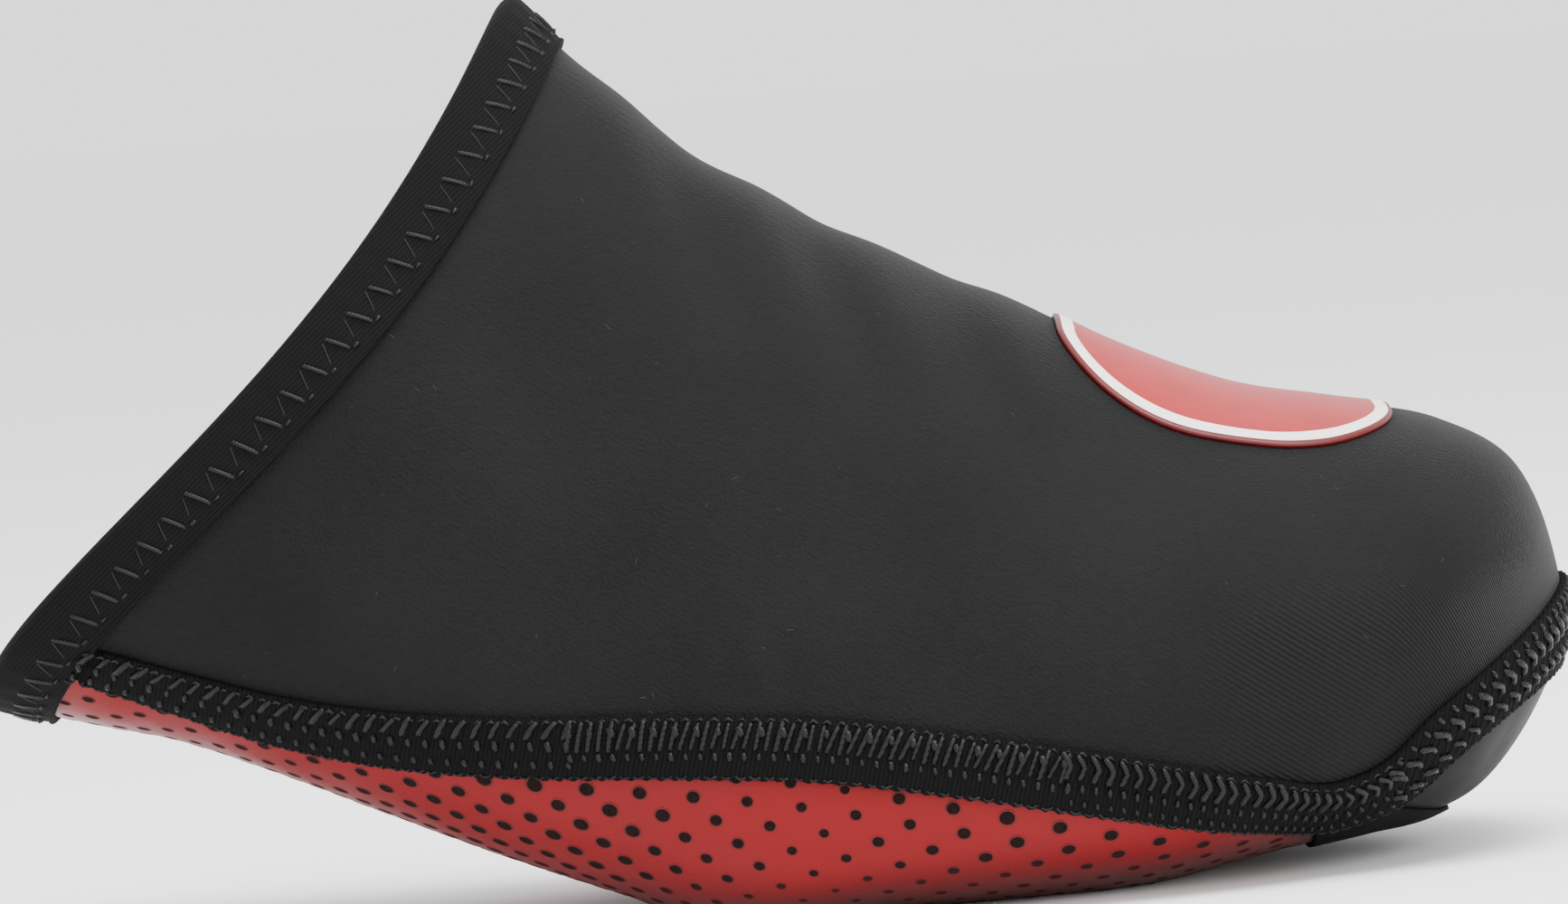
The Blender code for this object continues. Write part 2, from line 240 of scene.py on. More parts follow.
# %% Reading a table as smooth curves
def read_table(at, table, columns, name):
    """Reads one column of a table as a smooth curve, at one place or at many."""
    known = np.array([row[0] for row in table])
    values = np.array([row[columns.index(name)] for row in table])
    slopes = np.gradient(values, known)
    at = np.asarray(at, float)
    row = np.clip(np.searchsorted(known, at) - 1, 0, len(known) - 2)
    span = known[row + 1] - known[row]
    t = (at - known[row]) / span
    start = (2 * t**3 - 3 * t**2 + 1) * values[row] + (t**3 - 2 * t**2 + t) * slopes[row] * span
    end = (3 * t**2 - 2 * t**3) * values[row + 1] + (t**3 - t**2) * slopes[row + 1] * span
    return start + end


def place_along(share):
    """X of a share of the length."""
    return (share - 0.5) * LENGTH


def section_points(station, turn):
    """Points of the skin. The turn is 0 under the sole, and 0.5 on top by the near side."""
    s = {name: read_table(station, SECTIONS, SECTION_COLUMNS, name)
         for name in SECTION_COLUMNS[1:]}
    across, up = np.sin(2 * np.pi * turn), np.cos(2 * np.pi * turn)
    power = 2 / np.where(up > 0, s["base_round"], s["crown_round"])
    side = -np.sign(across) * np.abs(across) ** power
    reach = np.where(up > 0, s["widest"], 1 - s["widest"])
    rise = s["widest"] - np.sign(up) * reach * np.abs(up) ** power
    hollow = s["hollow"] * 4 * rise * (1 - rise)
    fall = np.clip((1 - rise) / (1 - LOBE_RISE), 0, None) ** 4
    lobe = s["lobe"] * (rise / LOBE_RISE) * fall
    base_x, crown_x = place_along(s["base_along"]), place_along(s["crown_along"])
    base_z, crown_z = s["base_height"] * COLLAR_HEIGHT, s["crown_height"] * COLLAR_HEIGHT
    x = base_x + (crown_x - base_x) * rise + (hollow - lobe) * LENGTH
    y = side * np.clip(s["width"], 0, None) * BALL_WIDTH / 2
    z = np.clip(base_z + (crown_z - base_z) * rise, 0, None)
    return np.stack([x, y, z], -1)


def above_seam(x, z):
    """How far a point of the side view lies above the seam's middle line."""
    share = x / LENGTH + 0.5
    nudge = 1e-3
    height = read_table(share, SEAM_LINE, SEAM_COLUMNS, "height") * COLLAR_HEIGHT
    later = read_table(share + nudge, SEAM_LINE, SEAM_COLUMNS, "height") * COLLAR_HEIGHT
    slope = (later - height) / (nudge * LENGTH)
    return (z - height) / np.sqrt(1 + slope**2)


def half_strip(x):
    """Half the width of the seam's strip in the side view."""
    share = x / LENGTH + 0.5
    return read_table(share, SEAM_LINE, SEAM_COLUMNS, "strip") * SEAM_WIDTH / 2


# %% [markdown]
# ## Creases
# The empty collar sags a little, and the cloth gathers in soft folds over the instep. Each
# crease is placed one by one, as a sculptor would press it: where it starts, which way it
# runs, how long and how wide it is, and how far it stands out or sinks in.

# %% Creases, one by one
CREASES = (
    # x, z of the start, x and z of the direction, length, width, height (mm)
    (-12.9, 85.2, 0.20, -0.98, 17.0, 3.4, 0.70),
    (-5.4, 77.3, 0.24, -0.97, 15.0, 2.8, -0.75),
    (2.1, 73.6, 0.26, -0.97, 18.0, 3.2, 0.85),
    (9.5, 69.8, 0.28, -0.96, 16.0, 2.8, -0.80),
    (15.8, 64.1, 0.30, -0.95, 17.0, 3.2, 0.75),
    (24.4, 62.4, 0.30, -0.95, 14.0, 3.0, -0.55),
    (29.1, 57.8, 0.34, -0.94, 14.0, 3.2, 0.45),
    (-26.0, 62.0, 0.45, -0.89, 16.0, 9.0, -0.90),
    (-44.0, 64.0, 0.70, -0.71, 30.0, 8.0, 0.45),
    (-8.5, 30.0, -0.20, -0.98, 6.0, 1.1, 0.22),
    (-5.5, 30.5, -0.05, -1.00, 7.0, 1.0, -0.22),
    (-2.5, 30.0, 0.12, -0.99, 6.0, 1.1, 0.22),
    (0.5, 29.0, 0.25, -0.97, 5.0, 1.0, -0.16),
    (52.0, 33.0, 0.80, -0.60, 18.0, 5.0, 0.30),
    (64.0, 40.0, 0.75, -0.66, 16.0, 5.0, -0.30),
)


def crease_lift(points):
    """How far the creases push each point of the skin out, in metres."""
    lift = np.zeros(points.shape[:-1])
    for x, z, run_x, run_z, length, width, height in CREASES:
        dx, dz = points[..., 0] / MM - x, points[..., 2] / MM - z
        along = dx * run_x + dz * run_z
        across = dx * run_z - dz * run_x
        far = np.clip(along / length, 0, 1)
        before = np.clip(-along / (4 * width), 0, 1)
        fade = (1 - far**2) ** 2 * (1 - before**2) ** 2
        lift += height * MM * fade * np.exp(-((across / width) ** 2))
    return lift


# %% [markdown]
# The skin is worked out once, as a fine net of rings. The points of a ring are spaced
# evenly along the cloth, so a pattern laid on it isn't squeezed at the corners.

# %% The net of the skin
RINGS = 420
AROUND = 480


def even_ring(station):
    """One ring of the skin with evenly spaced points, from under the sole by the near side."""
    turn = np.linspace(0, 0.5, 1201)
    half = section_points(np.full(turn.shape, station), turn)
    steps = np.linalg.norm(np.diff(half, axis=0), axis=1)
    length = np.concatenate([[0], np.cumsum(steps)])
    at = np.linspace(0, length[-1], AROUND // 2 + 1)
    near = np.stack([np.interp(at, length, half[:, i]) for i in range(3)], -1)
    far = near[-2::-1] * np.array([1, -1, 1])
    return np.concatenate([near, far])


def net_normals(net):
    """Outward directions of a net of points, from its neighbours."""
    along = np.gradient(net, axis=0)
    wrapped = np.concatenate([net[:, -2:-1], net, net[:, 1:2]], axis=1)
    around = (wrapped[:, 2:] - wrapped[:, :-2]) / 2
    normal = np.cross(around, along)
    normal /= np.maximum(np.linalg.norm(normal, axis=-1, keepdims=True), 1e-12)
    return normal


station_list = 1 - (1 - np.linspace(0, 1, RINGS + 1)) ** 1.4
NET = np.stack([even_ring(station) for station in station_list])
NORMALS = net_normals(NET)
if NORMALS[RINGS // 2, AROUND // 4][1] > 0:
    NORMALS = -NORMALS
NORMALS[-1] = np.mean(NORMALS[-3], axis=0) / np.linalg.norm(np.mean(NORMALS[-3], axis=0))
floor_side = NET[..., 2] < 0.2 * MM
lift = np.where(floor_side, 0, crease_lift(NET))
NET = NET + NORMALS * lift[..., None]
NORMALS = net_normals(NET) * np.sign(np.sum(net_normals(NET) * NORMALS, -1, keepdims=True))
NORMALS[-1] = np.mean(NORMALS[-3], axis=0) / np.linalg.norm(np.mean(NORMALS[-3], axis=0))
ABOVE = above_seam(NET[..., 0], NET[..., 2])
print("skin net:", NET.shape, "highest point", round(NET[..., 2].max() / MM, 1), "mm")

# %% [markdown]
# ## Cutting cloth
# A panel is a piece of the skin. It is cut along a line in the way scissors do it: edges
# that cross the line are split where they cross, and what lies on the wrong side goes.

# %% Cut panels from the skin
def skin_sheet(ring_step, around_step, from_top):
    """A closed tube of the skin as a bmesh."""
    rings = list(range(0, RINGS, ring_step)) + [RINGS]
    shift = AROUND // 2 if from_top else 0
    columns = [(k + shift) % AROUND for k in range(0, AROUND, around_step)]
    bm = bmesh.new()
    rows = [[bm.verts.new(NET[r, c]) for c in columns] for r in rings]
    for near, far in zip(rows, rows[1:]):
        for k in range(len(columns)):
            after = (k + 1) % len(columns)
            bm.faces.new((near[k], near[after], far[after], far[k]))
    bmesh.ops.remove_doubles(bm, verts=rows[-1], dist=1e-6)
    return bm


def trim(bm, field):
    """Cuts the cloth where the field is zero, and keeps the side where it is positive."""
    verts = list(bm.verts)
    worth = field(np.array([vert.co for vert in verts]))
    side = dict(zip(verts, worth))
    crossing = []
    for edge in list(bm.edges):
        a, b = edge.verts
        if side[a] * side[b] < 0:
            new = bmesh.utils.edge_split(edge, a, side[a] / (side[a] - side[b]))[1]
            side[new] = 0.0
            crossing.append(new)
    bmesh.ops.connect_verts(bm, verts=crossing)
    wrong = [face for face in bm.faces if sum(side[vert] for vert in face.verts) < 0]
    bmesh.ops.delete(bm, geom=wrong, context="FACES")


def new_piece(name, bm):
    """A mesh object made from a bmesh, with smooth faces."""
    mesh = bpy.data.meshes.new(name)
    bm.to_mesh(mesh)
    bm.free()
    mesh.shade_smooth()
    thing = bpy.data.objects.new(name, mesh)
    bpy.context.scene.collection.objects.link(thing)
    return thing


def face_outwards(bm):
    """Turns the faces so that they look away from the middle of the cover."""
    bm.normal_update()
    score = sum((face.calc_center_median() - Vector((face.calc_center_median().x, 0, 25 * MM)))
                .dot(face.normal) * face.calc_area() for face in bm.faces)
    if score < 0:
        bmesh.ops.reverse_faces(bm, faces=bm.faces)


def add_wall(thing, thickness, outwards=False, lining=0):
    """Gives a sheet of cloth its thickness."""
    wall = thing.modifiers.new("wall", "SOLIDIFY")
    wall.thickness = thickness
    wall.offset = 1 if outwards else -1
    wall.use_even_offset = False
    wall.material_offset = lining


# %% [markdown]
# ## Black upper
# The upper is one panel of stretch softshell: a smooth knit face with a brushed back. It is
# everything above the seam, so it is cut from the skin along the seam's line.

# %% Cut the upper
def field_upper(points):
    """Positive above the seam."""
    return above_seam(points[:, 0], points[:, 2]) - SEAM_GAP / 2


sheet = skin_sheet(2, 2, False)
trim(sheet, field_upper)
face_outwards(sheet)
upper = new_piece("upper_cloth", sheet)
print("upper:", len(upper.data.polygons), "faces")

# %% [markdown]
# ## Red sole
# The sole is a tougher cloth with a red rubbery coat. It covers the underside behind the
# toe guard, and it has a hole where the shoe's cleat comes through.

# %% Cut the sole
CLEAT_HOLE = (14.6 * MM, 0.0, 40.0 * MM, 38.0 * MM, 10.0 * MM)


def from_cleat_hole(points):
    """How far a point lies outside the rounded hole, seen from below."""
    x, y, length, width, corner = CLEAT_HOLE
    dx = np.abs(points[:, 0] - x) - (length / 2 - corner)
    dy = np.abs(points[:, 1] - y) - (width / 2 - corner)
    outside = np.hypot(np.clip(dx, 0, None), np.clip(dy, 0, None))
    return outside + np.minimum(np.maximum(dx, dy), 0) - corner


def field_sole(points):
    """Positive below the seam."""
    return -above_seam(points[:, 0], points[:, 2]) - SEAM_GAP / 2


def field_behind_guard(points):
    """Positive behind the toe guard."""
    return place_along(TOE_SPLIT) - SEAM_GAP / 2 - points[:, 0]


sheet = skin_sheet(2, 2, True)
trim(sheet, field_sole)
trim(sheet, field_behind_guard)
trim(sheet, from_cleat_hole)
face_outwards(sheet)
sole = new_piece("sole_cloth", sheet)
print("sole:", len(sole.data.polygons), "faces")

# %% [markdown]
# ## Toe guard
# The bottom of the toe scrapes on the ground, so it has its own panel of smooth coated
# cloth, ahead of the red sole and below the seam.

# %% Cut the toe guard
def field_ahead(points):
    """Positive ahead of the sole's front edge."""
    return points[:, 0] - place_along(TOE_SPLIT) - SEAM_GAP / 2


sheet = skin_sheet(2, 3, True)
trim(sheet, field_ahead)
trim(sheet, field_sole)
face_outwards(sheet)
guard = new_piece("guard_cloth", sheet)
print("guard:", len(guard.data.polygons), "faces")

# %% [markdown]
# ## Side seam
# The panels are joined flat, edge to edge, and a knitted tape covers the join on the
# outside. It runs from the hem along the side, round the toe and back along the other side.
# To build it, lines are drawn on the skin at set heights above and below the seam, and the
# tape is stretched between them.

# %% Lines that run beside the seam
BINDING_WIDTH = 7.0 * MM
HALF = AROUND // 2
TOE_COLUMN = int(0.70 * HALF)
STEP_ALONG = np.linalg.norm(np.diff(NET, axis=0), axis=-1)
ALONG = np.concatenate([np.zeros((1, AROUND + 1)), np.cumsum(STEP_ALONG, axis=0)])


def between(r0, c0, r1, c1, t):
    """A point of the skin part of the way between two points of the net."""
    point = NET[r0, c0] * (1 - t) + NET[r1, c1] * t
    normal = NORMALS[r0, c0] * (1 - t) + NORMALS[r1, c1] * t
    return np.concatenate([point, normal / np.linalg.norm(normal)])


def seam_level(level, first=BINDING_WIDTH - 1.0 * MM):
    """Points and normals of a line beside the seam, from the near hem to the toe tip."""
    value = ABOVE[:, :HALF + 1] - level * half_strip(NET[:, :HALF + 1, 0])
    found = []
    for r in range(RINGS):
        up = np.flatnonzero((value[r, :-1] < 0) & (value[r, 1:] >= 0))
        if len(up) == 0 or up[0] >= TOE_COLUMN:
            break
        c = up[0]
        if ALONG[r, c] >= first:
            found.append(between(r, c, r, c + 1, value[r, c] / (value[r, c] - value[r, c + 1])))
    for c in range(TOE_COLUMN, HALF + 1):
        down = np.flatnonzero((value[:-1, c] >= 0) & (value[1:, c] < 0))
        r = down[-1]
        found.append(between(r, c, r + 1, c, value[r, c] / (value[r, c] - value[r + 1, c])))
    return np.array(found)


def even_line(line, count):
    """The same line with evenly spaced points."""
    steps = np.linalg.norm(np.diff(line[:, :3], axis=0), axis=1)
    length = np.concatenate([[0], np.cumsum(steps)])
    at = np.linspace(0, length[-1], count)
    made = np.stack([np.interp(at, length, line[:, i]) for i in range(6)], -1)
    made[:, 3:] /= np.linalg.norm(made[:, 3:], axis=1, keepdims=True)
    return made


def both_sides(line):
    """Continues a near-side line past the toe tip along the far side."""
    mirror = np.array([1, -1, 1, 1, -1, 1])
    return np.concatenate([line, line[-2::-1] * mirror])


middle_line = seam_level(0.0)
seam_run = np.linalg.norm(np.diff(middle_line[:, :3], axis=0), axis=1).sum()
print("seam from hem to toe tip:", round(seam_run / MM, 1), "mm")

# %% Sweep the seam tape
SEAM_THICKNESS = 0.8 * MM
STITCH_PITCH = 1.6 * MM


def sweep(name, lines, closed=True, caps=True):
    """A band through a list of lines with the same number of points."""
    bm = bmesh.new()
    rows = [[bm.verts.new(point) for point in line] for line in lines]
    pairs = list(zip(rows, rows[1:] + rows[:1])) if closed else list(zip(rows, rows[1:]))
    for near, far in pairs:
        for k in range(len(near) - 1):
            bm.faces.new((near[k], near[k + 1], far[k + 1], far[k]))
    if caps:
        for k in (0, -1):
            bm.faces.new([row[k] for row in rows])
    bmesh.ops.recalc_face_normals(bm, faces=bm.faces)
    return new_piece(name, bm)


def tape_lines(count):
    """The outline of the tape cut across, as lines along it."""
    across = np.sin(np.linspace(-np.pi / 2, np.pi / 2, 13))
    run = np.linspace(0, seam_run, count)
    wave = np.sin(2 * np.pi * run / STITCH_PITCH)
    rise = np.clip(run / (2.2 * MM), 0.15, 1.0)
    ragged = np.random.default_rng(11).uniform(-1, 1, count)
    lines = []
    for t in across:
        line = even_line(seam_level(t), count)
        ridge = 0.62 + 0.38 * (1 - abs(t) ** 4) - 0.10 * np.exp(-((t - 0.1) / 0.16) ** 2)
        ripple = 0.07 * MM * wave * (1 - t**4)
        scallop = (0.12 * wave + 0.07 * ragged) * MM * (abs(t) > 0.99)
        line[:, :3] += line[:, 3:] * ((LAY_GAP + SEAM_THICKNESS * ridge + ripple) * rise)[:, None]
        line[:, 2] += scallop * np.sign(t)
        lines.append(both_sides(line)[:, :3])
    for t in (1.0, -1.0):
        line = even_line(seam_level(t), count)
        line[:, :3] += line[:, 3:] * 0.03 * MM
        lines.append(both_sides(line)[:, :3])
    return lines


side_seam = sweep("seam_tape", tape_lines(900))
print("seam tape:", len(side_seam.data.polygons), "faces")

# %% [markdown]
# ## Fold under the toe
# The tape's end turns under the toe and covers the join of the sole and the guard. It is a
# short band of the skin, lifted off it by the thickness of the tape.

# %% Cut the fold
FOLD_LENGTH = 17.0 * MM
FOLD_THICKNESS = 0.45 * MM
FOLD_REACH = 2.5 * MM
FOLD_TIP = 71.5 * MM


def field_fold(points):
    """Positive within the band under the toe, which reaches a little further ahead."""
    ahead = points[:, 0] - place_along(TOE_SPLIT)
    return FOLD_LENGTH / 2 + FOLD_REACH * (ahead > 0) - np.abs(ahead)


def field_fold_tip(points):
    """Positive under the slanting line where the fold runs out below the toe seam."""
    ahead = points[:, 0] - FOLD_TIP
    rounding = 0.5 / MM * np.maximum(ahead - 3.0 * MM, 0) ** 2
    return 5.2 * MM - 0.29 * ahead - rounding - points[:, 2]


def lift_sheet(bm, distance):
    """Moves a sheet out along its own normals."""
    bm.normal_update()
    for vert in bm.verts:
        vert.co += vert.normal * distance


sheet = skin_sheet(2, 2, True)
trim(sheet, field_fold)
trim(sheet, field_sole)
trim(sheet, field_fold_tip)
face_outwards(sheet)
lift_sheet(sheet, 0.1 * MM)
fold = new_piece("toe_fold_tape", sheet)
print("fold:", len(fold.data.polygons), "faces")

# %% [markdown]
# ## Collar binding
# A soft tape is folded over the raw edge of the collar and sewn through. Cut across, it is
# a flat hook: an outer leaf, a round fold and an inner leaf. The hook is carried once round
# the collar.

# %% Sweep the binding
BINDING_THICKNESS = 0.6 * MM
INNER_LEAF = -2.1 * MM
ZIGZAG_PITCH = 3.8 * MM


def collar_frame(inset):
    """Points and outward directions all round the collar, an inset in from its edge."""
    points, outs = [], []
    for c in range(AROUND):
        if inset > 0:
            point = np.array([np.interp(inset, ALONG[:, c], NET[:, c, i]) for i in range(3)])
            out = np.array([np.interp(inset, ALONG[:, c], NORMALS[:, c, i]) for i in range(3)])
        else:
            back = (NET[0, c] - NET[2, c]) / np.linalg.norm(NET[0, c] - NET[2, c])
            point, out = NET[0, c] - back * inset, NORMALS[0, c]
        points.append(point)
        outs.append(out / np.linalg.norm(out))
    return np.array(points), np.array(outs)


def binding_hook():
    """The hook cut across: how far in from the edge, and how far off the skin."""
    top, low = LAY_GAP + BINDING_THICKNESS, INNER_LEAF - BINDING_THICKNESS
    hook = [(7.0, 0.03), (7.02, 0.55), (6.9, 0.93), (6.7, 1.02), (6.5, 0.94), (6.3, 0.80)]
    hook += [(5.6, 0.84), (5.0, 0.92), (4.0, 0.86), (3.0, 0.86), (2.2, 0.93), (1.2, 0.92)]
    hook = [(along * MM, lift * MM) for along, lift in hook]
    middle, half = (top + low) / 2, (top - low) / 2
    for k in range(9):
        turn = math.pi * (0.5 + k / 8)
        hook.append((0.55 * half * math.cos(turn) - LAY_GAP, middle + half * math.sin(turn)))
    hook += [(along * MM, low) for along in (1.2, 3.0, 5.0, 6.8)]
    hook += [(7.0 * MM, low + 0.15 * MM), (7.0 * MM, low + 0.45 * MM), (6.8 * MM, INNER_LEAF)]
    hook += [(3.0 * MM, INNER_LEAF), (-LAY_GAP, INNER_LEAF), (-LAY_GAP, 0.03 * MM)]
    hook += [(3.0 * MM, 0.03 * MM)]
    return hook


def binding_piece():
    """The hook carried round the collar, with shallow puckers where it is sewn."""
    bm = bmesh.new()
    rows = []
    edge, _ = collar_frame(0.0)
    run = np.cumsum(np.linalg.norm(np.diff(edge, axis=0, append=edge[:1]), axis=1))
    for along, lift in binding_hook():
        points, outs = collar_frame(along)
        pucker = 0.06 * MM * np.sin(2 * np.pi * run / ZIGZAG_PITCH)
        pucker = pucker if lift > LAY_GAP and 1 * MM < along < 6 * MM else 0 * pucker
        rows.append([bm.verts.new(p) for p in points + outs * (lift + pucker)[:, None]])
    for near, far in zip(rows, rows[1:] + rows[:1]):
        for k in range(AROUND):
            after = (k + 1) % AROUND
            bm.faces.new((near[k], near[after], far[after], far[k]))
    bmesh.ops.recalc_face_normals(bm, faces=bm.faces)
    return new_piece("collar_tape", bm)


binding = binding_piece()
print("binding:", len(binding.data.polygons), "faces")

# %% [markdown]
# ## Patch on the toe
# A patch of red film is pressed onto the top of the toe with a hot plate. It is thin and
# follows the cloth, so its points are dropped onto the skin from above.

# %% Press the patch onto the skin
PATCH_LENGTH = 37.0 * MM
PATCH_WIDTH = 47.0 * MM
PATCH_CORNER = 15.0 * MM
PATCH_X = place_along(0.795)
PATCH_THICKNESS = 0.4 * MM


def skin_tree():
    """A search tree of the skin, to drop points onto it."""
    rows, columns = range(0, RINGS + 1, 2), range(0, AROUND + 1, 2)
    spots = [tuple(NET[r, c]) for r in rows for c in columns]
    wide = len(columns)
    quads = [(r * wide + c, r * wide + c + 1, (r + 1) * wide + c + 1, (r + 1) * wide + c)
             for r in range(len(rows) - 1) for c in range(wide - 1)]
    return BVHTree.FromPolygons(spots, quads)


SKIN_TREE = skin_tree()


def drop(x, y):
    """The skin's point and normal straight under a place."""
    point, normal, _, _ = SKIN_TREE.ray_cast(Vector((x, y, 0.2)), Vector((0, 0, -1)))
    return point, normal if normal.z > 0 else -normal


def rounded_outline(turn, length, width, corner):
    """How far out a rounded rectangle reaches in a direction."""
    low, high = 0.0, length + width
    for _ in range(30):
        reach = (low + high) / 2
        dx = abs(reach * math.cos(turn)) - (length / 2 - corner)
        dy = abs(reach * math.sin(turn)) - (width / 2 - corner)
        outside = math.hypot(max(dx, 0), max(dy, 0)) + min(max(dx, dy), 0) - corner
        low, high = (reach, high) if outside < 0 else (low, reach)
    return reach


PATCH_RINGS = (0.1, 0.25, 0.4, 0.55, 0.7, 0.8, 0.86, 0.90, 0.905, 0.94, 0.975, 0.98, 0.99, 1.0)
PATCH_COLOURS = (0, 0, 0, 0, 0, 0, 0, 0, 1, 1, 1, 2, 2, 2)


def patch_piece(spokes=144):
    """Rings of points from the middle to the rounded edge, dropped onto the skin."""
    bm = bmesh.new()
    turns = [2 * math.pi * k / spokes for k in range(spokes)]
    edge = [rounded_outline(t, PATCH_LENGTH, PATCH_WIDTH, PATCH_CORNER) for t in turns]
    point, normal = drop(PATCH_X, 0)
    centre = bm.verts.new(point + normal * (LAY_GAP + PATCH_THICKNESS))
    rows = []
    for share in PATCH_RINGS:
        row = []
        for turn, reach in zip(turns, edge):
            x, y = PATCH_X + share * reach * math.cos(turn), share * reach * math.sin(turn)
            point, normal = drop(x, y)
            height = PATCH_THICKNESS * (1 - 0.35 * max(share - 0.98, 0) / 0.02)
            row.append(bm.verts.new(point + normal * (LAY_GAP + height)))
        rows.append(row)
    for share in PATCH_RINGS[::-1]:
        row = []
        for turn, reach in zip(turns, edge):
            x, y = PATCH_X + share * reach * math.cos(turn), share * reach * math.sin(turn)
            point, normal = drop(x, y)
            row.append(bm.verts.new(point + normal * 0.03 * MM))
        rows.append(row)
    point, normal = drop(PATCH_X, 0)
    under = bm.verts.new(point + normal * 0.03 * MM)
    for k in range(spokes):
        after = (k + 1) % spokes
        bm.faces.new((centre, rows[0][k], rows[0][after]))
        bm.faces.new((under, rows[-1][after], rows[-1][k])).material_index = 2
        for i in range(len(rows) - 1):
            face = bm.faces.new((rows[i][k], rows[i + 1][k], rows[i + 1][after], rows[i][after]))
            face.material_index = PATCH_COLOURS[min(i + 1, len(PATCH_COLOURS) - 1)]
    bmesh.ops.recalc_face_normals(bm, faces=bm.faces)
    return new_piece("toe_patch_film", bm)


patch = patch_piece()
print("patch:", len(patch.data.polygons), "faces")

# %% Give the cloth its thickness
UPPER_WALL = 1.5 * MM
SOLE_WALL = 1.8 * MM
GUARD_WALL = 1.6 * MM
add_wall(upper, UPPER_WALL, lining=1)
add_wall(sole, SOLE_WALL, lining=1)
add_wall(guard, GUARD_WALL, lining=1)
add_wall(fold, FOLD_THICKNESS, outwards=True)
print("walls:", [round(wall / MM, 2) for wall in (UPPER_WALL, SOLE_WALL, GUARD_WALL)], "mm")

# %% [markdown]
# ## Sewing with Geometry Nodes
# A machine repeats one stitch at an even pitch. Geometry Nodes do the same: a line on the
# cloth is divided at the pitch, and a copy of one small thread shape is set on each point,
# turned along the line and away from the cloth. Two directions are kept on the line for
# that: out of the cloth, and along the run.

# %% The tree that sews
def tree_inputs(tree, sizes):
    """Gives a tree its geometry in and out, and its named inputs."""
    tree.interface.new_socket("Geometry", in_out="INPUT", socket_type="NodeSocketGeometry")
    for name, kind, value in sizes:
        socket = tree.interface.new_socket(name, in_out="INPUT", socket_type=kind)
        if value is not None:
            socket.default_value = value
    tree.interface.new_socket("Geometry", in_out="OUTPUT", socket_type="NodeSocketGeometry")
    return add_node(tree, "NodeGroupInput"), add_node(tree, "NodeGroupOutput")


def cloth_direction(tree, name):
    """Reads a direction that is kept on the line or on the points."""
    node = add_node(tree, "GeometryNodeInputNamedAttribute", Name=name,
                    settings={"data_type": "FLOAT_VECTOR"})
    return node.outputs["Attribute"]


def random_number(tree, start, low, high, shift):
    """A random number for each copy, from the tree's own fixed seed."""
    seed = add_node(tree, "ShaderNodeMath", {0: start.outputs["Seed"]}, {"operation": "ADD"})
    seed.inputs[1].default_value = shift
    node = add_node(tree, "FunctionNodeRandomValue", {"Seed": seed.outputs[0]},
                    {"data_type": "FLOAT"})
    node.inputs[2].default_value = low
    node.inputs[3].default_value = high
    return node.outputs[1]


def set_copies(tree, end, points, turn, size, shape, finish):
    """Ends a tree: a copy of a shape on each point, made real, with its material."""
    source = add_node(tree, "GeometryNodeObjectInfo", {"Object": shape})
    copies = add_node(tree, "GeometryNodeInstanceOnPoints",
                      {"Points": points, "Instance": source.outputs["Geometry"],
                       "Rotation": turn, "Scale": size})
    real = add_node(tree, "GeometryNodeRealizeInstances",
                    {"Geometry": copies.outputs["Instances"]})
    dyed = add_node(tree, "GeometryNodeSetMaterial",
                    {"Geometry": real.outputs["Geometry"], "Material": finish})
    tree.links.new(dyed.outputs["Geometry"], end.inputs["Geometry"])


def turned_with_cloth(tree):
    """A rotation that looks out of the cloth and along the run."""
    node = add_node(tree, "FunctionNodeAxesToRotation",
                    {"Primary Axis": cloth_direction(tree, "out"),
                     "Secondary Axis": cloth_direction(tree, "run")},
                    {"primary_axis": "Z", "secondary_axis": "X"})
    return node.outputs["Rotation"]


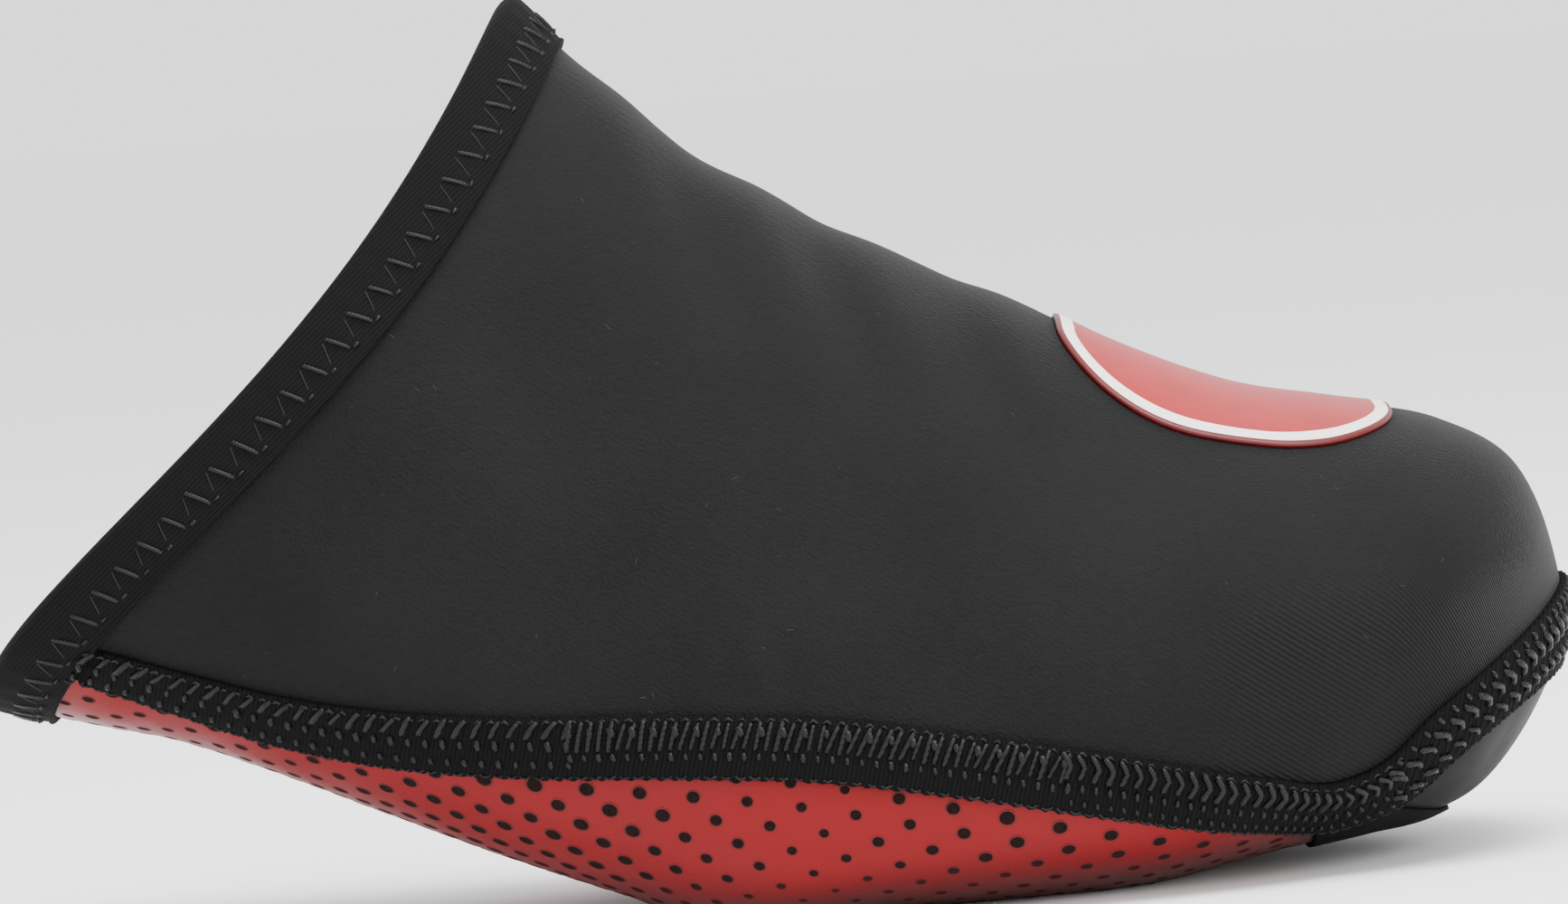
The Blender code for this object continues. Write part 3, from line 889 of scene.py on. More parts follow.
def sewing_tree():
    """A line is divided at the pitch, and a thread shape is set on each point."""
    tree = bpy.data.node_groups.new("sewn line", "GeometryNodeTree")
    start, end = tree_inputs(tree, (
        ("Pitch", "NodeSocketFloat", 1.6 * MM),
        ("Length", "NodeSocketFloat", 1.0),
        ("Width", "NodeSocketFloat", 1.0),
        ("Height", "NodeSocketFloat", 1.0),
        ("Unevenness", "NodeSocketFloat", 0.1),
        ("Seed", "NodeSocketInt", 1),
        ("Stitch", "NodeSocketObject", None),
        ("Thread", "NodeSocketMaterial", None),
    ))
    curve = add_node(tree, "GeometryNodeMeshToCurve", {"Mesh": start.outputs["Geometry"]})
    points = add_node(tree, "GeometryNodeResampleCurve",
                      {"Curve": curve.outputs["Curve"], "Length": start.outputs["Pitch"]},
                      {"mode": "LENGTH"})
    sway = add_node(tree, "ShaderNodeMath",
                    {0: random_number(tree, start, -1.0, 1.0, 0),
                     1: start.outputs["Unevenness"]}, {"operation": "MULTIPLY"})
    swing = add_node(tree, "ShaderNodeCombineXYZ", {"Z": sway.outputs[0]})
    uneven = add_node(tree, "FunctionNodeRotateRotation",
                      {"Rotation": turned_with_cloth(tree), "Rotate By": swing.outputs[0]},
                      {"rotation_space": "LOCAL"})
    size = add_node(tree, "ShaderNodeCombineXYZ",
                    {"X": start.outputs["Length"], "Y": start.outputs["Width"],
                     "Z": start.outputs["Height"]})
    growth = add_node(tree, "ShaderNodeMath",
                      {0: random_number(tree, start, -1.0, 1.0, 7),
                       1: start.outputs["Unevenness"]}, {"operation": "MULTIPLY_ADD"})
    growth.inputs[2].default_value = 1.0
    grown = add_node(tree, "ShaderNodeVectorMath",
                     {0: size.outputs[0], "Scale": growth.outputs[0]}, {"operation": "SCALE"})
    set_copies(tree, end, points.outputs["Curve"], uneven.outputs["Rotation"],
               grown.outputs[0], start.outputs["Stitch"], start.outputs["Thread"])
    return tree


SEWING = sewing_tree()
print("sewing tree:", len(SEWING.nodes), "nodes")

# %% Lines and points for the trees
def marked_points(name, spots, outs, runs, joined):
    """Points of the cloth that keep their direction out of it and along it."""
    mesh = bpy.data.meshes.new(name)
    edges = [(k, k + 1) for k in range(len(spots) - 1)] if joined else []
    mesh.from_pydata([tuple(spot) for spot in spots], edges, [])
    for label, values in (("out", outs), ("run", runs)):
        kept = mesh.attributes.new(label, "FLOAT_VECTOR", "POINT")
        kept.data.foreach_set("vector", np.asarray(values, np.float32).ravel())
    thing = bpy.data.objects.new(name, mesh)
    bpy.context.scene.collection.objects.link(thing)
    return thing


def run_tree(thing, tree, sizes):
    """Runs a tree on an object once and returns the plain mesh that it makes."""
    names = {item.name: item.identifier for item in tree.interface.items_tree
             if item.in_out == "INPUT"}
    modifier = thing.modifiers.new(tree.name, "NODES")
    modifier.node_group = tree
    for name, value in sizes.items():
        modifier[names[name]] = value
    graph = bpy.context.evaluated_depsgraph_get()
    mesh = bpy.data.meshes.new_from_object(thing.evaluated_get(graph))
    thing.modifiers.remove(modifier)
    return mesh


def join_meshes(name, meshes):
    """One piece made from several plain meshes, with their materials kept."""
    kinds = []
    bm = bmesh.new()
    for mesh in meshes:
        first = len(bm.faces)
        places = [kinds.index(m) if m in kinds else kinds.append(m) or len(kinds) - 1
                  for m in mesh.materials]
        bm.from_mesh(mesh)
        bm.faces.ensure_lookup_table()
        for face in bm.faces[first:]:
            face.material_index = places[face.material_index] if places else 0
    thing = new_piece(name, bm)
    for kind in kinds:
        thing.data.materials.append(kind)
    return thing


def mirrored(mesh):
    """The same mesh on the other side of the cover."""
    copy = mesh.copy()
    copy.transform(Matrix.Scale(-1, 4, (0, 1, 0)))
    copy.flip_normals()
    return copy


# %% Thread shapes
def thread_shape(name, points, radius, sides=5):
    """A short thread through a few points, thinner at its ends, in millimetres."""
    bm = bmesh.new()
    path = [Vector(point) * MM for point in points]
    rows = []
    for k, spot in enumerate(path):
        ahead = (path[min(k + 1, len(path) - 1)] - path[max(k - 1, 0)]).normalized()
        side = ahead.cross(Vector((0, 0, 1))).normalized()
        rise = side.cross(ahead)
        thick = radius * MM * (0.6 if k in (0, len(path) - 1) else 1.0)
        turns = [2 * math.pi * j / sides for j in range(sides)]
        rows.append([bm.verts.new(spot + (side * math.cos(t) + rise * math.sin(t)) * thick)
                     for t in turns])
    for near, far in zip(rows, rows[1:]):
        for j in range(sides):
            bm.faces.new((near[j], near[(j + 1) % sides], far[(j + 1) % sides], far[j]))
    bm.faces.new(rows[0])
    bm.faces.new(rows[-1])
    bmesh.ops.recalc_face_normals(bm, faces=bm.faces)
    thing = new_piece(name, bm)
    thing.hide_render = True
    return thing


shape_chevron = thread_shape("chevron", [
    (-0.80, 1.50, -0.25), (-0.60, 1.30, 0.00), (0.00, 0.75, 0.08), (0.32, 0.25, 0.09),
    (0.16, -0.35, 0.07), (-0.05, -0.95, 0.04), (-0.12, -1.25, -0.22)], 0.38)
shape_slant = thread_shape("slant", [
    (0.45, 1.7, -0.28), (0.38, 1.45, -0.02), (0.12, 0.55, 0.06), (-0.12, -0.5, 0.06),
    (-0.30, -1.3, 0.00), (-0.34, -1.55, -0.28)], 0.28)
shape_bead = thread_shape("bead", [
    (-0.12, 0.52, -0.28), (-0.08, 0.32, 0.02), (0.0, 0.0, 0.10), (0.06, -0.32, 0.02),
    (0.10, -0.52, -0.28)], 0.32, 6)
shape_loop = thread_shape("loop", [
    (-0.62, 0.38, -0.22), (-0.46, 0.18, 0.00), (0.0, -0.10, 0.06), (0.46, 0.18, 0.00),
    (0.62, 0.38, -0.22)], 0.20)
shape_braid = thread_shape("braid", [
    (-0.95, 1.05, -0.30), (-0.70, 0.80, 0.05), (-0.10, 0.40, 0.16), (0.35, -0.05, 0.15),
    (0.30, -0.60, 0.08), (0.05, -0.95, -0.28)], 0.40, 6)
shape_zig = thread_shape("zig", [
    (-0.62, 1.55, -0.28), (-0.50, 1.25, -0.02), (-0.05, 0.25, 0.06), (0.38, -0.85, 0.05),
    (0.52, -1.30, 0.00), (0.56, -1.55, -0.26)], 0.28)
shape_zag = thread_shape("zag", [
    (0.62, 1.45, -0.30), (0.50, 1.15, -0.10), (0.05, 0.15, -0.06), (-0.45, -0.95, -0.10),
    (-0.62, -1.45, -0.28)], 0.14)
shape_tie = thread_shape("tie", [
    (-0.40, 0.0, -0.20), (-0.24, 0.02, 0.06), (0.0, 0.0, 0.13), (0.24, -0.02, 0.06),
    (0.40, 0.0, -0.20)], 0.22, 6)

# %% [markdown]
# ## Thread and cloth finishes
# Sewing thread is twisted polyester. It is the only part of the seam that catches the
# light, as small bright beads on a dark tape. The finishes come first here, because the
# trees that sew give each thread its material.

# %% Start of each finish
def start_finish(name, code, roughness, **values):
    """A new material: its node tree, its shader and the object's own coordinates."""
    material = bpy.data.materials.new(name)
    material.use_nodes = True
    tree = material.node_tree
    shader = tree.nodes["Principled BSDF"]
    shader.inputs["Base Color"].default_value = linear(code)
    shader.inputs["Roughness"].default_value = roughness
    shader.inputs["IOR"].default_value = 1.5
    for key, value in values.items():
        shader.inputs[key.replace("_", " ")].default_value = value
    place = add_node(tree, "ShaderNodeTexCoord").outputs["Object"]
    return material, tree, shader, place


def cloudy(tree, place, size, detail=3.0):
    """Soft random spots of about this size in metres, from 0 to 1."""
    node = add_node(tree, "ShaderNodeTexNoise", {"Vector": place}, Scale=1 / size, Detail=detail)
    return node.outputs[0]


def tinted(tree, shade, dark, light, low=0.3, high=0.7):
    """Turns a grey value into a colour between two hex codes."""
    ramp = add_node(tree, "ShaderNodeValToRGB", {0: shade})
    ramp.color_ramp.elements[0].position = low
    ramp.color_ramp.elements[1].position = high
    ramp.color_ramp.elements[0].color = linear(dark)
    ramp.color_ramp.elements[1].color = linear(light)
    return ramp.outputs["Color"]


def relief(tree, height, depth, under=None, strength=1.0):
    """Raises and sinks the surface by a grey value, up to a depth in metres."""
    links = {"Height": height}
    if under is not None:
        links["Normal"] = under
    node = add_node(tree, "ShaderNodeBump", links, Strength=strength, Distance=depth)
    return node.outputs["Normal"]


def ribs(tree, place, spacing, turn):
    """Even ribs with a spacing in metres, in the side view, turned by an angle."""
    turned = add_node(tree, "ShaderNodeMapping", {"Vector": place}, Rotation=(0, turn, 0))
    node = add_node(tree, "ShaderNodeTexWave", {"Vector": turned.outputs[0]},
                    {"wave_type": "BANDS", "bands_direction": "Z"},
                    Scale=math.pi / 10 / spacing, Distortion=0.0)
    return node.outputs["Fac"]


def blend_shades(tree, share, first, second):
    """Mixes two grey values by a share."""
    node = add_node(tree, "ShaderNodeMix", {0: share, 2: first, 3: second},
                    {"data_type": "FLOAT"})
    return node.outputs[0]


def stretch(tree, value, low, high, out_low=0.0, out_high=1.0):
    """Stretches a range of a value to another range, softly at both ends."""
    node = add_node(tree, "ShaderNodeMapRange", {0: value},
                    {"interpolation_type": "SMOOTHSTEP"})
    for key, number in enumerate((low, high, out_low, out_high), 1):
        node.inputs[key].default_value = number
    return node.outputs[0]


# %% Thread finish
# Twisted polyester thread: a soft shine, and painted shade on the turns where strands meet.
def thread_finish(name, dark, light):
    """Dark filament thread. The twist is 0.35 mm long, drawn a little coarse to show."""
    material, tree, shader, place = start_finish(name, light, 0.45, Specular_IOR_Level=0.2)
    twist = ribs(tree, place, 0.35 * MM, math.radians(40))
    # Painted shade: the grooves of the twist, between the strands, are coloured darker.
    tree.links.new(tinted(tree, twist, dark, light, 0.1, 0.9), shader.inputs["Base Color"])
    tree.links.new(relief(tree, twist, 0.03 * MM), shader.inputs["Normal"])
    return material


seam_thread = thread_finish("dark polyester thread", "040405", "0C0C0D")
edge_thread = thread_finish("grey polyester thread", "070708", "131314")

# %% Softshell finish
# Softshell: a tight knit of polyester and elastane, dyed black. The face is matt, with fine
# wales (the ribs of a knit) that show most where the cloth is pulled over the toe. Tiny
# fibres stand up from it, and light that grazes them makes the outline look paler.
def pulled_wales(tree, apart):
    """A value that grows across the wales: straight at the side, bent down at the toe."""
    ahead = add_node(tree, "ShaderNodeMath", {0: apart.outputs["X"], 1: 66 * MM},
                     {"operation": "SUBTRACT"})
    near_tip = add_node(tree, "ShaderNodeMath", {0: ahead.outputs[0], 1: 0.0},
                        {"operation": "MAXIMUM"})
    bent = add_node(tree, "ShaderNodeMath", {0: near_tip.outputs[0], 1: near_tip.outputs[0]},
                    {"operation": "MULTIPLY"})
    slope = add_node(tree, "ShaderNodeMath",
                     {0: ahead.outputs[0], 1: 0.72, 2: apart.outputs["Z"]},
                     {"operation": "MULTIPLY_ADD"})
    total = add_node(tree, "ShaderNodeMath",
                     {0: bent.outputs[0], 1: 0.08 / MM, 2: slope.outputs[0]},
                     {"operation": "MULTIPLY_ADD"})
    return add_node(tree, "ShaderNodeCombineXYZ", {"Z": total.outputs[0]}).outputs[0]


def softshell_finish():
    """Black stretch knit. The wales are 0.6 mm apart at the toe, as they show there."""
    material, tree, shader, place = start_finish(
        "black softshell knit", "0C0C0D", 0.8, Sheen_Weight=0.10, Sheen_Roughness=0.3,
        Specular_IOR_Level=0.14)
    shader.inputs["Sheen Tint"].default_value = linear("D8D8DC")
    apart = add_node(tree, "ShaderNodeSeparateXYZ", {0: place})
    toe = stretch(tree, apart.outputs["X"], 40 * MM, 58 * MM)
    low = stretch(tree, apart.outputs["Z"], 38 * MM, 24 * MM)
    pulled = add_node(tree, "ShaderNodeMath", {0: toe, 1: low}, {"operation": "MULTIPLY"})
    wale = ribs(tree, pulled_wales(tree, apart), 0.72 * MM, 0.0)
    fuzz = cloudy(tree, place, 0.35 * MM, 2.0)
    share = stretch(tree, pulled.outputs[0], 0, 1, 0.06, 0.85)
    knit = blend_shades(tree, share, fuzz, wale)
    patchy = cloudy(tree, place, 22 * MM, 4.0)
    flat = add_node(tree, "ShaderNodeMapping", {"Vector": place}, Scale=(0.22, 0.6, 1.0))
    streaks = cloudy(tree, flat.outputs[0], 0.28 * MM, 2.0)
    shade = blend_shades(tree, 0.45, patchy, blend_shades(tree, share, streaks, wale))
    tree.links.new(tinted(tree, shade, "070708", "101011", 0.32, 0.68),
                   shader.inputs["Base Color"])
    tree.links.new(relief(tree, knit, 0.20 * MM, strength=0.9), shader.inputs["Normal"])
    return material


def lining_finish():
    """Brushed fleece: soft, matt and a little paler, with tufts of about a millimetre."""
    material, tree, shader, place = start_finish(
        "brushed fleece lining", "1A1A1C", 0.95, Sheen_Weight=0.12, Sheen_Roughness=0.6,
        Specular_IOR_Level=0.1)
    tufts = cloudy(tree, place, 0.9 * MM, 4.0)
    tree.links.new(tinted(tree, tufts, "0E0E0F", "1E1E20"), shader.inputs["Base Color"])
    tree.links.new(relief(tree, tufts, 0.25 * MM), shader.inputs["Normal"])
    return material


softshell = softshell_finish()
lining = lining_finish()

# %% Sole finish
# Red rubbery coat on a woven cloth: the weave shows through as a faint grain, the coat
# gives a soft gloss, and dust dulls it to brown where it meets the ground. The red is
# also painted lighter higher up and darker towards the ground, as painted light and shade.
def sole_finish():
    """Red coated cloth. The weave is 0.45 mm, and worn patches are about 12 mm."""
    material, tree, shader, place = start_finish(
        "red rubber-coated cloth", "860A12", 0.5, Specular_IOR_Level=0.15, Coat_Weight=0.02,
        Coat_Roughness=0.35)
    apart = add_node(tree, "ShaderNodeSeparateXYZ", {0: place})
    patchy = cloudy(tree, place, 12 * MM, 4.0)
    grain = cloudy(tree, place, 0.45 * MM, 2.0)
    # Painted light and shade: the height makes the red lighter higher up the sole and darker
    # towards the ground; clean mixes it with random patches, before any dust.
    height = stretch(tree, apart.outputs["Z"], 1 * MM, 9 * MM)
    clean = blend_shades(tree, 0.45, height, patchy)
    lit_and_shaded_red = tinted(tree, clean, "4C0A0C", "6C060C", 0.15, 0.75)
    dusty = tinted(tree, patchy, "43191A", "52211F")
    low = stretch(tree, apart.outputs["Z"], 4.5 * MM, 0.5 * MM, 0.0, 0.75)
    worn = add_node(tree, "ShaderNodeMix", {0: low, 6: lit_and_shaded_red, 7: dusty}, {"data_type": "RGBA"})
    tree.links.new(worn.outputs[2], shader.inputs["Base Color"])
    tree.links.new(stretch(tree, patchy, 0.3, 0.7, 0.36, 0.52), shader.inputs["Roughness"])
    tree.links.new(relief(tree, grain, 0.04 * MM), shader.inputs["Normal"])
    return material


def pit_finish():
    """The bottom of a punched pit, where the dark backing and dust show."""
    material, tree, shader, place = start_finish(
        "dark backing", "120606", 0.9, Specular_IOR_Level=0.1)
    apart = add_node(tree, "ShaderNodeSeparateXYZ", {0: place})
    dust = cloudy(tree, place, 0.4 * MM, 2.0)
    clean = tinted(tree, dust, "0C0404", "1C0B09")
    dusty = tinted(tree, dust, "2C1212", "3A1A18")
    low = stretch(tree, apart.outputs["Z"], 7 * MM, 1.5 * MM, 0.0, 0.8)
    worn = add_node(tree, "ShaderNodeMix", {0: low, 6: clean, 7: dusty}, {"data_type": "RGBA"})
    tree.links.new(worn.outputs[2], shader.inputs["Base Color"])
    return material


coated_red = sole_finish()
dark_pit = pit_finish()

# %% Guard, tape and film finishes
# Coated neoprene on the guard: smooth and a bit shiny. Knitted tape on seam and binding:
# deep black. Transfer film on the patch: flat colour with the cloth's grain coming through.
def guard_finish():
    """Smooth coated neoprene, greyer than the knit, with a fine 0.3 mm grain."""
    material, tree, shader, place = start_finish(
        "coated neoprene", "131314", 0.62, Specular_IOR_Level=0.12)
    patchy = cloudy(tree, place, 9 * MM, 4.0)
    grain = cloudy(tree, place, 0.3 * MM, 2.0)
    tree.links.new(tinted(tree, patchy, "0F0F10", "161617"), shader.inputs["Base Color"])
    tree.links.new(stretch(tree, patchy, 0.3, 0.7, 0.55, 0.7), shader.inputs["Roughness"])
    tree.links.new(relief(tree, grain, 0.03 * MM), shader.inputs["Normal"])
    return material


def tape_finish(name, dark, light, spacing, turn):
    """Knitted tape with cross ribs at a spacing in metres."""
    material, tree, shader, place = start_finish(name, light, 0.85, Specular_IOR_Level=0.06)
    rib = ribs(tree, place, spacing, turn)
    fuzz = cloudy(tree, place, 0.3 * MM, 2.0)
    shade = blend_shades(tree, 0.5, rib, fuzz)
    tree.links.new(tinted(tree, shade, dark, light, 0.2, 0.8), shader.inputs["Base Color"])
    tree.links.new(relief(tree, shade, 0.07 * MM), shader.inputs["Normal"])
    return material


def film_finish(name, dark, light, roughness=0.4):
    """Heat-transfer film. The knit's 0.4 mm grain shows through it faintly."""
    material, tree, shader, place = start_finish(name, light, roughness, Specular_IOR_Level=0.3)
    grain = cloudy(tree, place, 0.4 * MM, 2.0)
    patchy = cloudy(tree, place, 6 * MM, 3.0)
    shade = blend_shades(tree, 0.4, patchy, grain)
    tree.links.new(tinted(tree, shade, dark, light), shader.inputs["Base Color"])
    tree.links.new(relief(tree, grain, 0.02 * MM), shader.inputs["Normal"])
    return material


neoprene = guard_finish()
seam_tape_cloth = tape_finish("knitted seam tape", "060606", "0E0E0E", 0.5 * MM,
                              math.radians(75))
binding_cloth = tape_finish("folded binding tape", "090909", "111111", 0.45 * MM,
                            math.radians(40))
red_film = film_finish("red transfer film", "8A0E14", "9C121A")
white_film = film_finish("white transfer film", "E8DFD6", "F7F0EA")
rim_film = film_finish("dark red film edge", "480A0C", "5A0E12")

for piece, finishes in (
    (upper, (softshell, lining)), (sole, (coated_red, lining)), (guard, (neoprene, lining)),
    (side_seam, (seam_tape_cloth,)), (fold, (binding_cloth,)), (binding, (binding_cloth,)),
    (patch, (red_film, white_film, rim_film)),
):
    for finish in finishes:
        piece.data.materials.append(finish)
print("finishes:", len(bpy.data.materials))

# %% [markdown]
# ## Stitching the side seam
# Along the rear the seam shows two rows of beads under slanting threads, in the middle long
# threads lean over it, ahead of them runs a row of arrows, and round the toe it is a thick
# braid. A cover stitch machine makes each pattern, with a change of setting between them.
# The near side is sewn here, and the far side is its mirror image.

# %% Sew the side seam
def tape_line(level, first_x, last_x):
    """A line on top of the seam tape, at a level across it, between two places along X."""
    line = even_line(seam_level(level), 900)
    ridge = 0.62 + 0.38 * (1 - abs(level) ** 4)
    line[:, :3] += line[:, 3:] * (LAY_GAP + SEAM_THICKNESS * ridge)
    chosen = (line[:, 0] >= first_x * MM) & (line[:, 0] < last_x * MM)
    return line[chosen]


def sew(line, shape, thread, pitch, seed, length=1.0, width=1.0, height=1.0, uneven=0.1):
    """Sews one thread shape along a line with the sewing tree."""
    runs = np.gradient(line[:, :3], axis=0)
    runs /= np.linalg.norm(runs, axis=1, keepdims=True)
    guide = marked_points("guide_line", line[:, :3], line[:, 3:], runs, True)
    mesh = run_tree(guide, SEWING, {
        "Pitch": pitch, "Length": length, "Width": width, "Height": height,
        "Unevenness": uneven, "Seed": seed, "Stitch": shape, "Thread": thread})
    bpy.data.objects.remove(guide)
    return mesh


seam_rows = (
    # level, from x, to x (mm), shape, pitch (mm), length, width, unevenness
    (0.12, -80, -24, shape_bead, 2.0, 1.1, 1.0, 0.15),
    (-0.48, -80, -24, shape_bead, 2.0, 1.0, 0.8, 0.15),
    (0.62, -80, -24, shape_slant, 2.0, 1.6, 0.62, 0.15),
    (0.36, -24, 30, shape_slant, 1.15, 1.15, 1.0, 0.12),
    (0.52, -24, 30, shape_bead, 2.3, 1.4, 1.0, 0.2),
    (-0.26, -24, 30, shape_bead, 1.6, 1.0, 0.8, 0.2),
    (0.42, 30, 67, shape_chevron, 1.55, 1.0, 1.05, 0.08),
    (-0.16, 30, 67, shape_bead, 1.55, 0.9, 0.8, 0.1),
    (-0.62, 30, 70, shape_bead, 1.5, 0.8, 0.6, 0.1),
    (0.30, 67, 95, shape_braid, 2.15, 1.0, 1.2, 0.08),
    (-0.42, 67, 95, shape_braid, 2.15, 0.9, 0.9, 0.08),
    (0.80, 67, 95, shape_bead, 2.15, 1.0, 0.9, 0.1),
    (-0.94, -80, 95, shape_loop, 1.6, 1.0, 0.7, 0.2),
    (0.90, -80, 67, shape_loop, 1.55, 0.9, -0.9, 0.2),
)
sewn = []
for seed, (level, first, last, shape, pitch, length, width, uneven) in enumerate(seam_rows):
    near = sew(tape_line(level, first, last), shape, seam_thread, pitch * MM, seed,
               length, width, 1.0, uneven)
    sewn += [near, mirrored(near)]
seam_threads = join_meshes("seam_threads", sewn)
print("seam threads:", len(seam_threads.data.polygons), "faces")

# %% [markdown]
# ## Stitching the binding
# A zigzag holds the folded binding, so that the edge can still stretch. One leg of each
# zigzag lies on top, and the other sinks into the soft tape.

# %% Sew the binding
def binding_line(inset, lift):
    """A line on the outer leaf of the binding, once round the collar."""
    points, outs = collar_frame(inset)
    line = np.concatenate([points + outs * lift, outs], axis=1)
    return np.concatenate([line, line[:1]])


sewn = [
    sew(binding_line(3.6 * MM, 0.88 * MM), shape_zig, edge_thread, ZIGZAG_PITCH, 20,
        uneven=0.06),
    sew(np.roll(binding_line(3.6 * MM, 0.88 * MM)[:-1], -4, axis=0), shape_zag, seam_thread,
        ZIGZAG_PITCH, 21, uneven=0.06),
    sew(np.roll(binding_line(5.3 * MM, 0.90 * MM)[:-1], -2, axis=0), shape_tie, edge_thread,
        ZIGZAG_PITCH, 22, uneven=0.1),
]
binding_threads = join_meshes("binding_threads", sewn)
print("binding threads:", len(binding_threads.data.polygons), "faces")

# %% [markdown]
# ## Dots in the red sole
# The red coat is punched with rows of small pits, so that it grips and drains. The rows
# sink slowly away from the seam, every second row is shifted by half a pitch, and where the
# cloth was pulled hard, and under the foot, the pits are smaller. Their places are worked
# out on the skin, and a tree sets one pit on each place.

# %% Places of the pits
ROW_PITCH = 2.9 * MM
DOT_PITCH = 6.0 * MM
FIRST_ROW = 1.7 * MM
ROW_SINK = 0.065
DOT_RADII = (
    (-90, 0.62), (-60, 0.68), (-33, 0.86), (-16, 0.80), (-5, 0.62), (5, 0.54), (13, 0.66),
    (22, 0.80), (60, 0.80), (90, 0.80),
)


def pit_row(depth):
    """A row below the seam tape, from the hem to the toe. It sinks a little on its way."""
    value = ABOVE[:, :HALF + 1] + half_strip(NET[:, :HALF + 1, 0])
    found = []
    for r in range(0, RINGS, 2):
        up = np.flatnonzero((value[r, :-1] < 0) & (value[r, 1:] >= 0))
        if len(up) == 0:
            break
        spacing = np.linalg.norm(NET[r, up[0] + 1] - NET[r, up[0]])
        share = value[r, up[0]] / (value[r, up[0]] - value[r, up[0] + 1])
        below = depth + ROW_SINK * (NET[r, up[0], 0] + 22.4 * MM)
        place = up[0] + share - below / spacing
        if place > 0.5 and below > -0.4 * MM and ALONG[r, up[0]] > 7.2 * MM:
            c = int(place)
            found.append(between(r, c, r, c + 1, place - c))
    return np.array(found)


def pit_places():
    """Points, directions and radii of all the pits on the near side."""
    spots, outs, runs, radii = [], [], [], []
    chance = np.random.default_rng(4)
    for k in range(-4, 18):
        row = pit_row(FIRST_ROW + k * ROW_PITCH)
        if len(row) < 4:
            continue
        steps = np.linalg.norm(np.diff(row[:, :3], axis=0), axis=1)
        run = np.concatenate([[0], np.cumsum(steps)])
        start = np.interp(-22.4 * MM - 0.5 * MM * k, row[:, 0], run)
        start += (k % 2) * DOT_PITCH / 2
        at = np.arange(start % DOT_PITCH, run[-1], DOT_PITCH)
        made = np.stack([np.interp(at, run, row[:, i]) for i in range(6)], -1)
        ahead = np.stack([np.interp(at + MM, run, row[:, i]) for i in range(3)], -1)
        behind = np.stack([np.interp(at - MM, run, row[:, i]) for i in range(3)], -1)
        for point, direction in zip(made, ahead - behind):
            near_hole = from_cleat_hole(point[None, :3])[0] < 1.6 * MM and point[2] < 5 * MM
            crowded = any(np.hypot(*(point[:2] - s[:2])) < 2.3 * MM for s in spots[-200:]
                          if s[2] < 6 * MM) if point[2] < 6 * MM else False
            if near_hole or crowded or point[0] > 57 * MM or point[1] > -1.3 * MM:
                continue
            spots.append(point[:3])
            outs.append(point[3:])
            runs.append(direction / max(np.linalg.norm(direction), 1e-9))
            size = np.interp(point[0] / MM, *zip(*DOT_RADII)) * chance.uniform(0.92, 1.08)
            size *= np.interp(point[2] / MM, (1.0, 8.0), (0.72, 1.0))
            radii.append(size)
    return np.array(spots), np.array(outs), np.array(runs), np.array(radii)


spots, outs, runs, radii = pit_places()
print("pits on one side:", len(spots))

# %% The tree that sets the pits
def pit_tree():
    """Sets a pit on each point, turned out of the cloth, as wide as its kept radius."""
    tree = bpy.data.node_groups.new("punched pits", "GeometryNodeTree")
    start, end = tree_inputs(tree, (
        ("Width", "NodeSocketFloat", 1.0),
        ("Stretch", "NodeSocketFloat", 1.0),
        ("Pit", "NodeSocketObject", None),
        ("Finish", "NodeSocketMaterial", None),
    ))
    radius = add_node(tree, "GeometryNodeInputNamedAttribute", {"Name": "radius"},
                      {"data_type": "FLOAT"})
    wide = add_node(tree, "ShaderNodeMath",
                    {0: radius.outputs["Attribute"], 1: start.outputs["Width"]},
                    {"operation": "MULTIPLY"})
    long = add_node(tree, "ShaderNodeMath",
                    {0: wide.outputs[0], 1: start.outputs["Stretch"]},
                    {"operation": "MULTIPLY"})
    size = add_node(tree, "ShaderNodeCombineXYZ",
                    {"X": long.outputs[0], "Y": wide.outputs[0], "Z": 1.0})
    set_copies(tree, end, start.outputs["Geometry"], turned_with_cloth(tree),
               size.outputs[0], start.outputs["Pit"], start.outputs["Finish"])
    return tree


PUNCHING = pit_tree()
print("pit tree:", len(PUNCHING.nodes), "nodes")

# %% Shapes of a pit
def turned_shape(name, profile, sides=14):
    """A round shape from a profile of (radius, height) in millimetres, middle last."""
    bm = bmesh.new()
    turns = [2 * math.pi * j / sides for j in range(sides)]
    rows = [[bm.verts.new((r * math.cos(t) * MM, r * math.sin(t) * MM, z * MM))
             for t in turns] for r, z in profile if r > 0]
    for near, far in zip(rows, rows[1:]):
        for j in range(sides):
            bm.faces.new((near[j], near[(j + 1) % sides], far[(j + 1) % sides], far[j]))
    if profile[-1][0] == 0:
        middle = bm.verts.new((0, 0, profile[-1][1] * MM))
        for j in range(sides):
            bm.faces.new((rows[-1][j], rows[-1][(j + 1) % sides], middle))
    thing = new_piece(name, bm)
    thing.hide_render = True
    return thing


pit_floor = turned_shape("pit_floor", [(0.98, 0.030), (0.80, 0.018), (0.4, 0.010), (0, 0.008)])
pit_rim = turned_shape("pit_rim", [(1.22, 0.0), (1.10, 0.038), (0.98, 0.040), (0.90, 0.012)])
rim_red = film_finish("pressed red edge", "44090B", "58070B", 0.75)
places = marked_points("pit_places", spots, outs, runs, False)
kept = places.data.attributes.new("radius", "FLOAT", "POINT")
kept.data.foreach_set("value", radii.astype(np.float32))
made = []
for shape, finish in ((pit_floor, dark_pit), (pit_rim, rim_red)):
    near = run_tree(places, PUNCHING, {"Width": 1.0, "Stretch": 1.08, "Pit": shape,
                                       "Finish": finish})
    made += [near, mirrored(near)]
pits = join_meshes("sole_pits", made)
bpy.data.objects.remove(places)
print("pits:", len(pits.data.polygons), "faces")

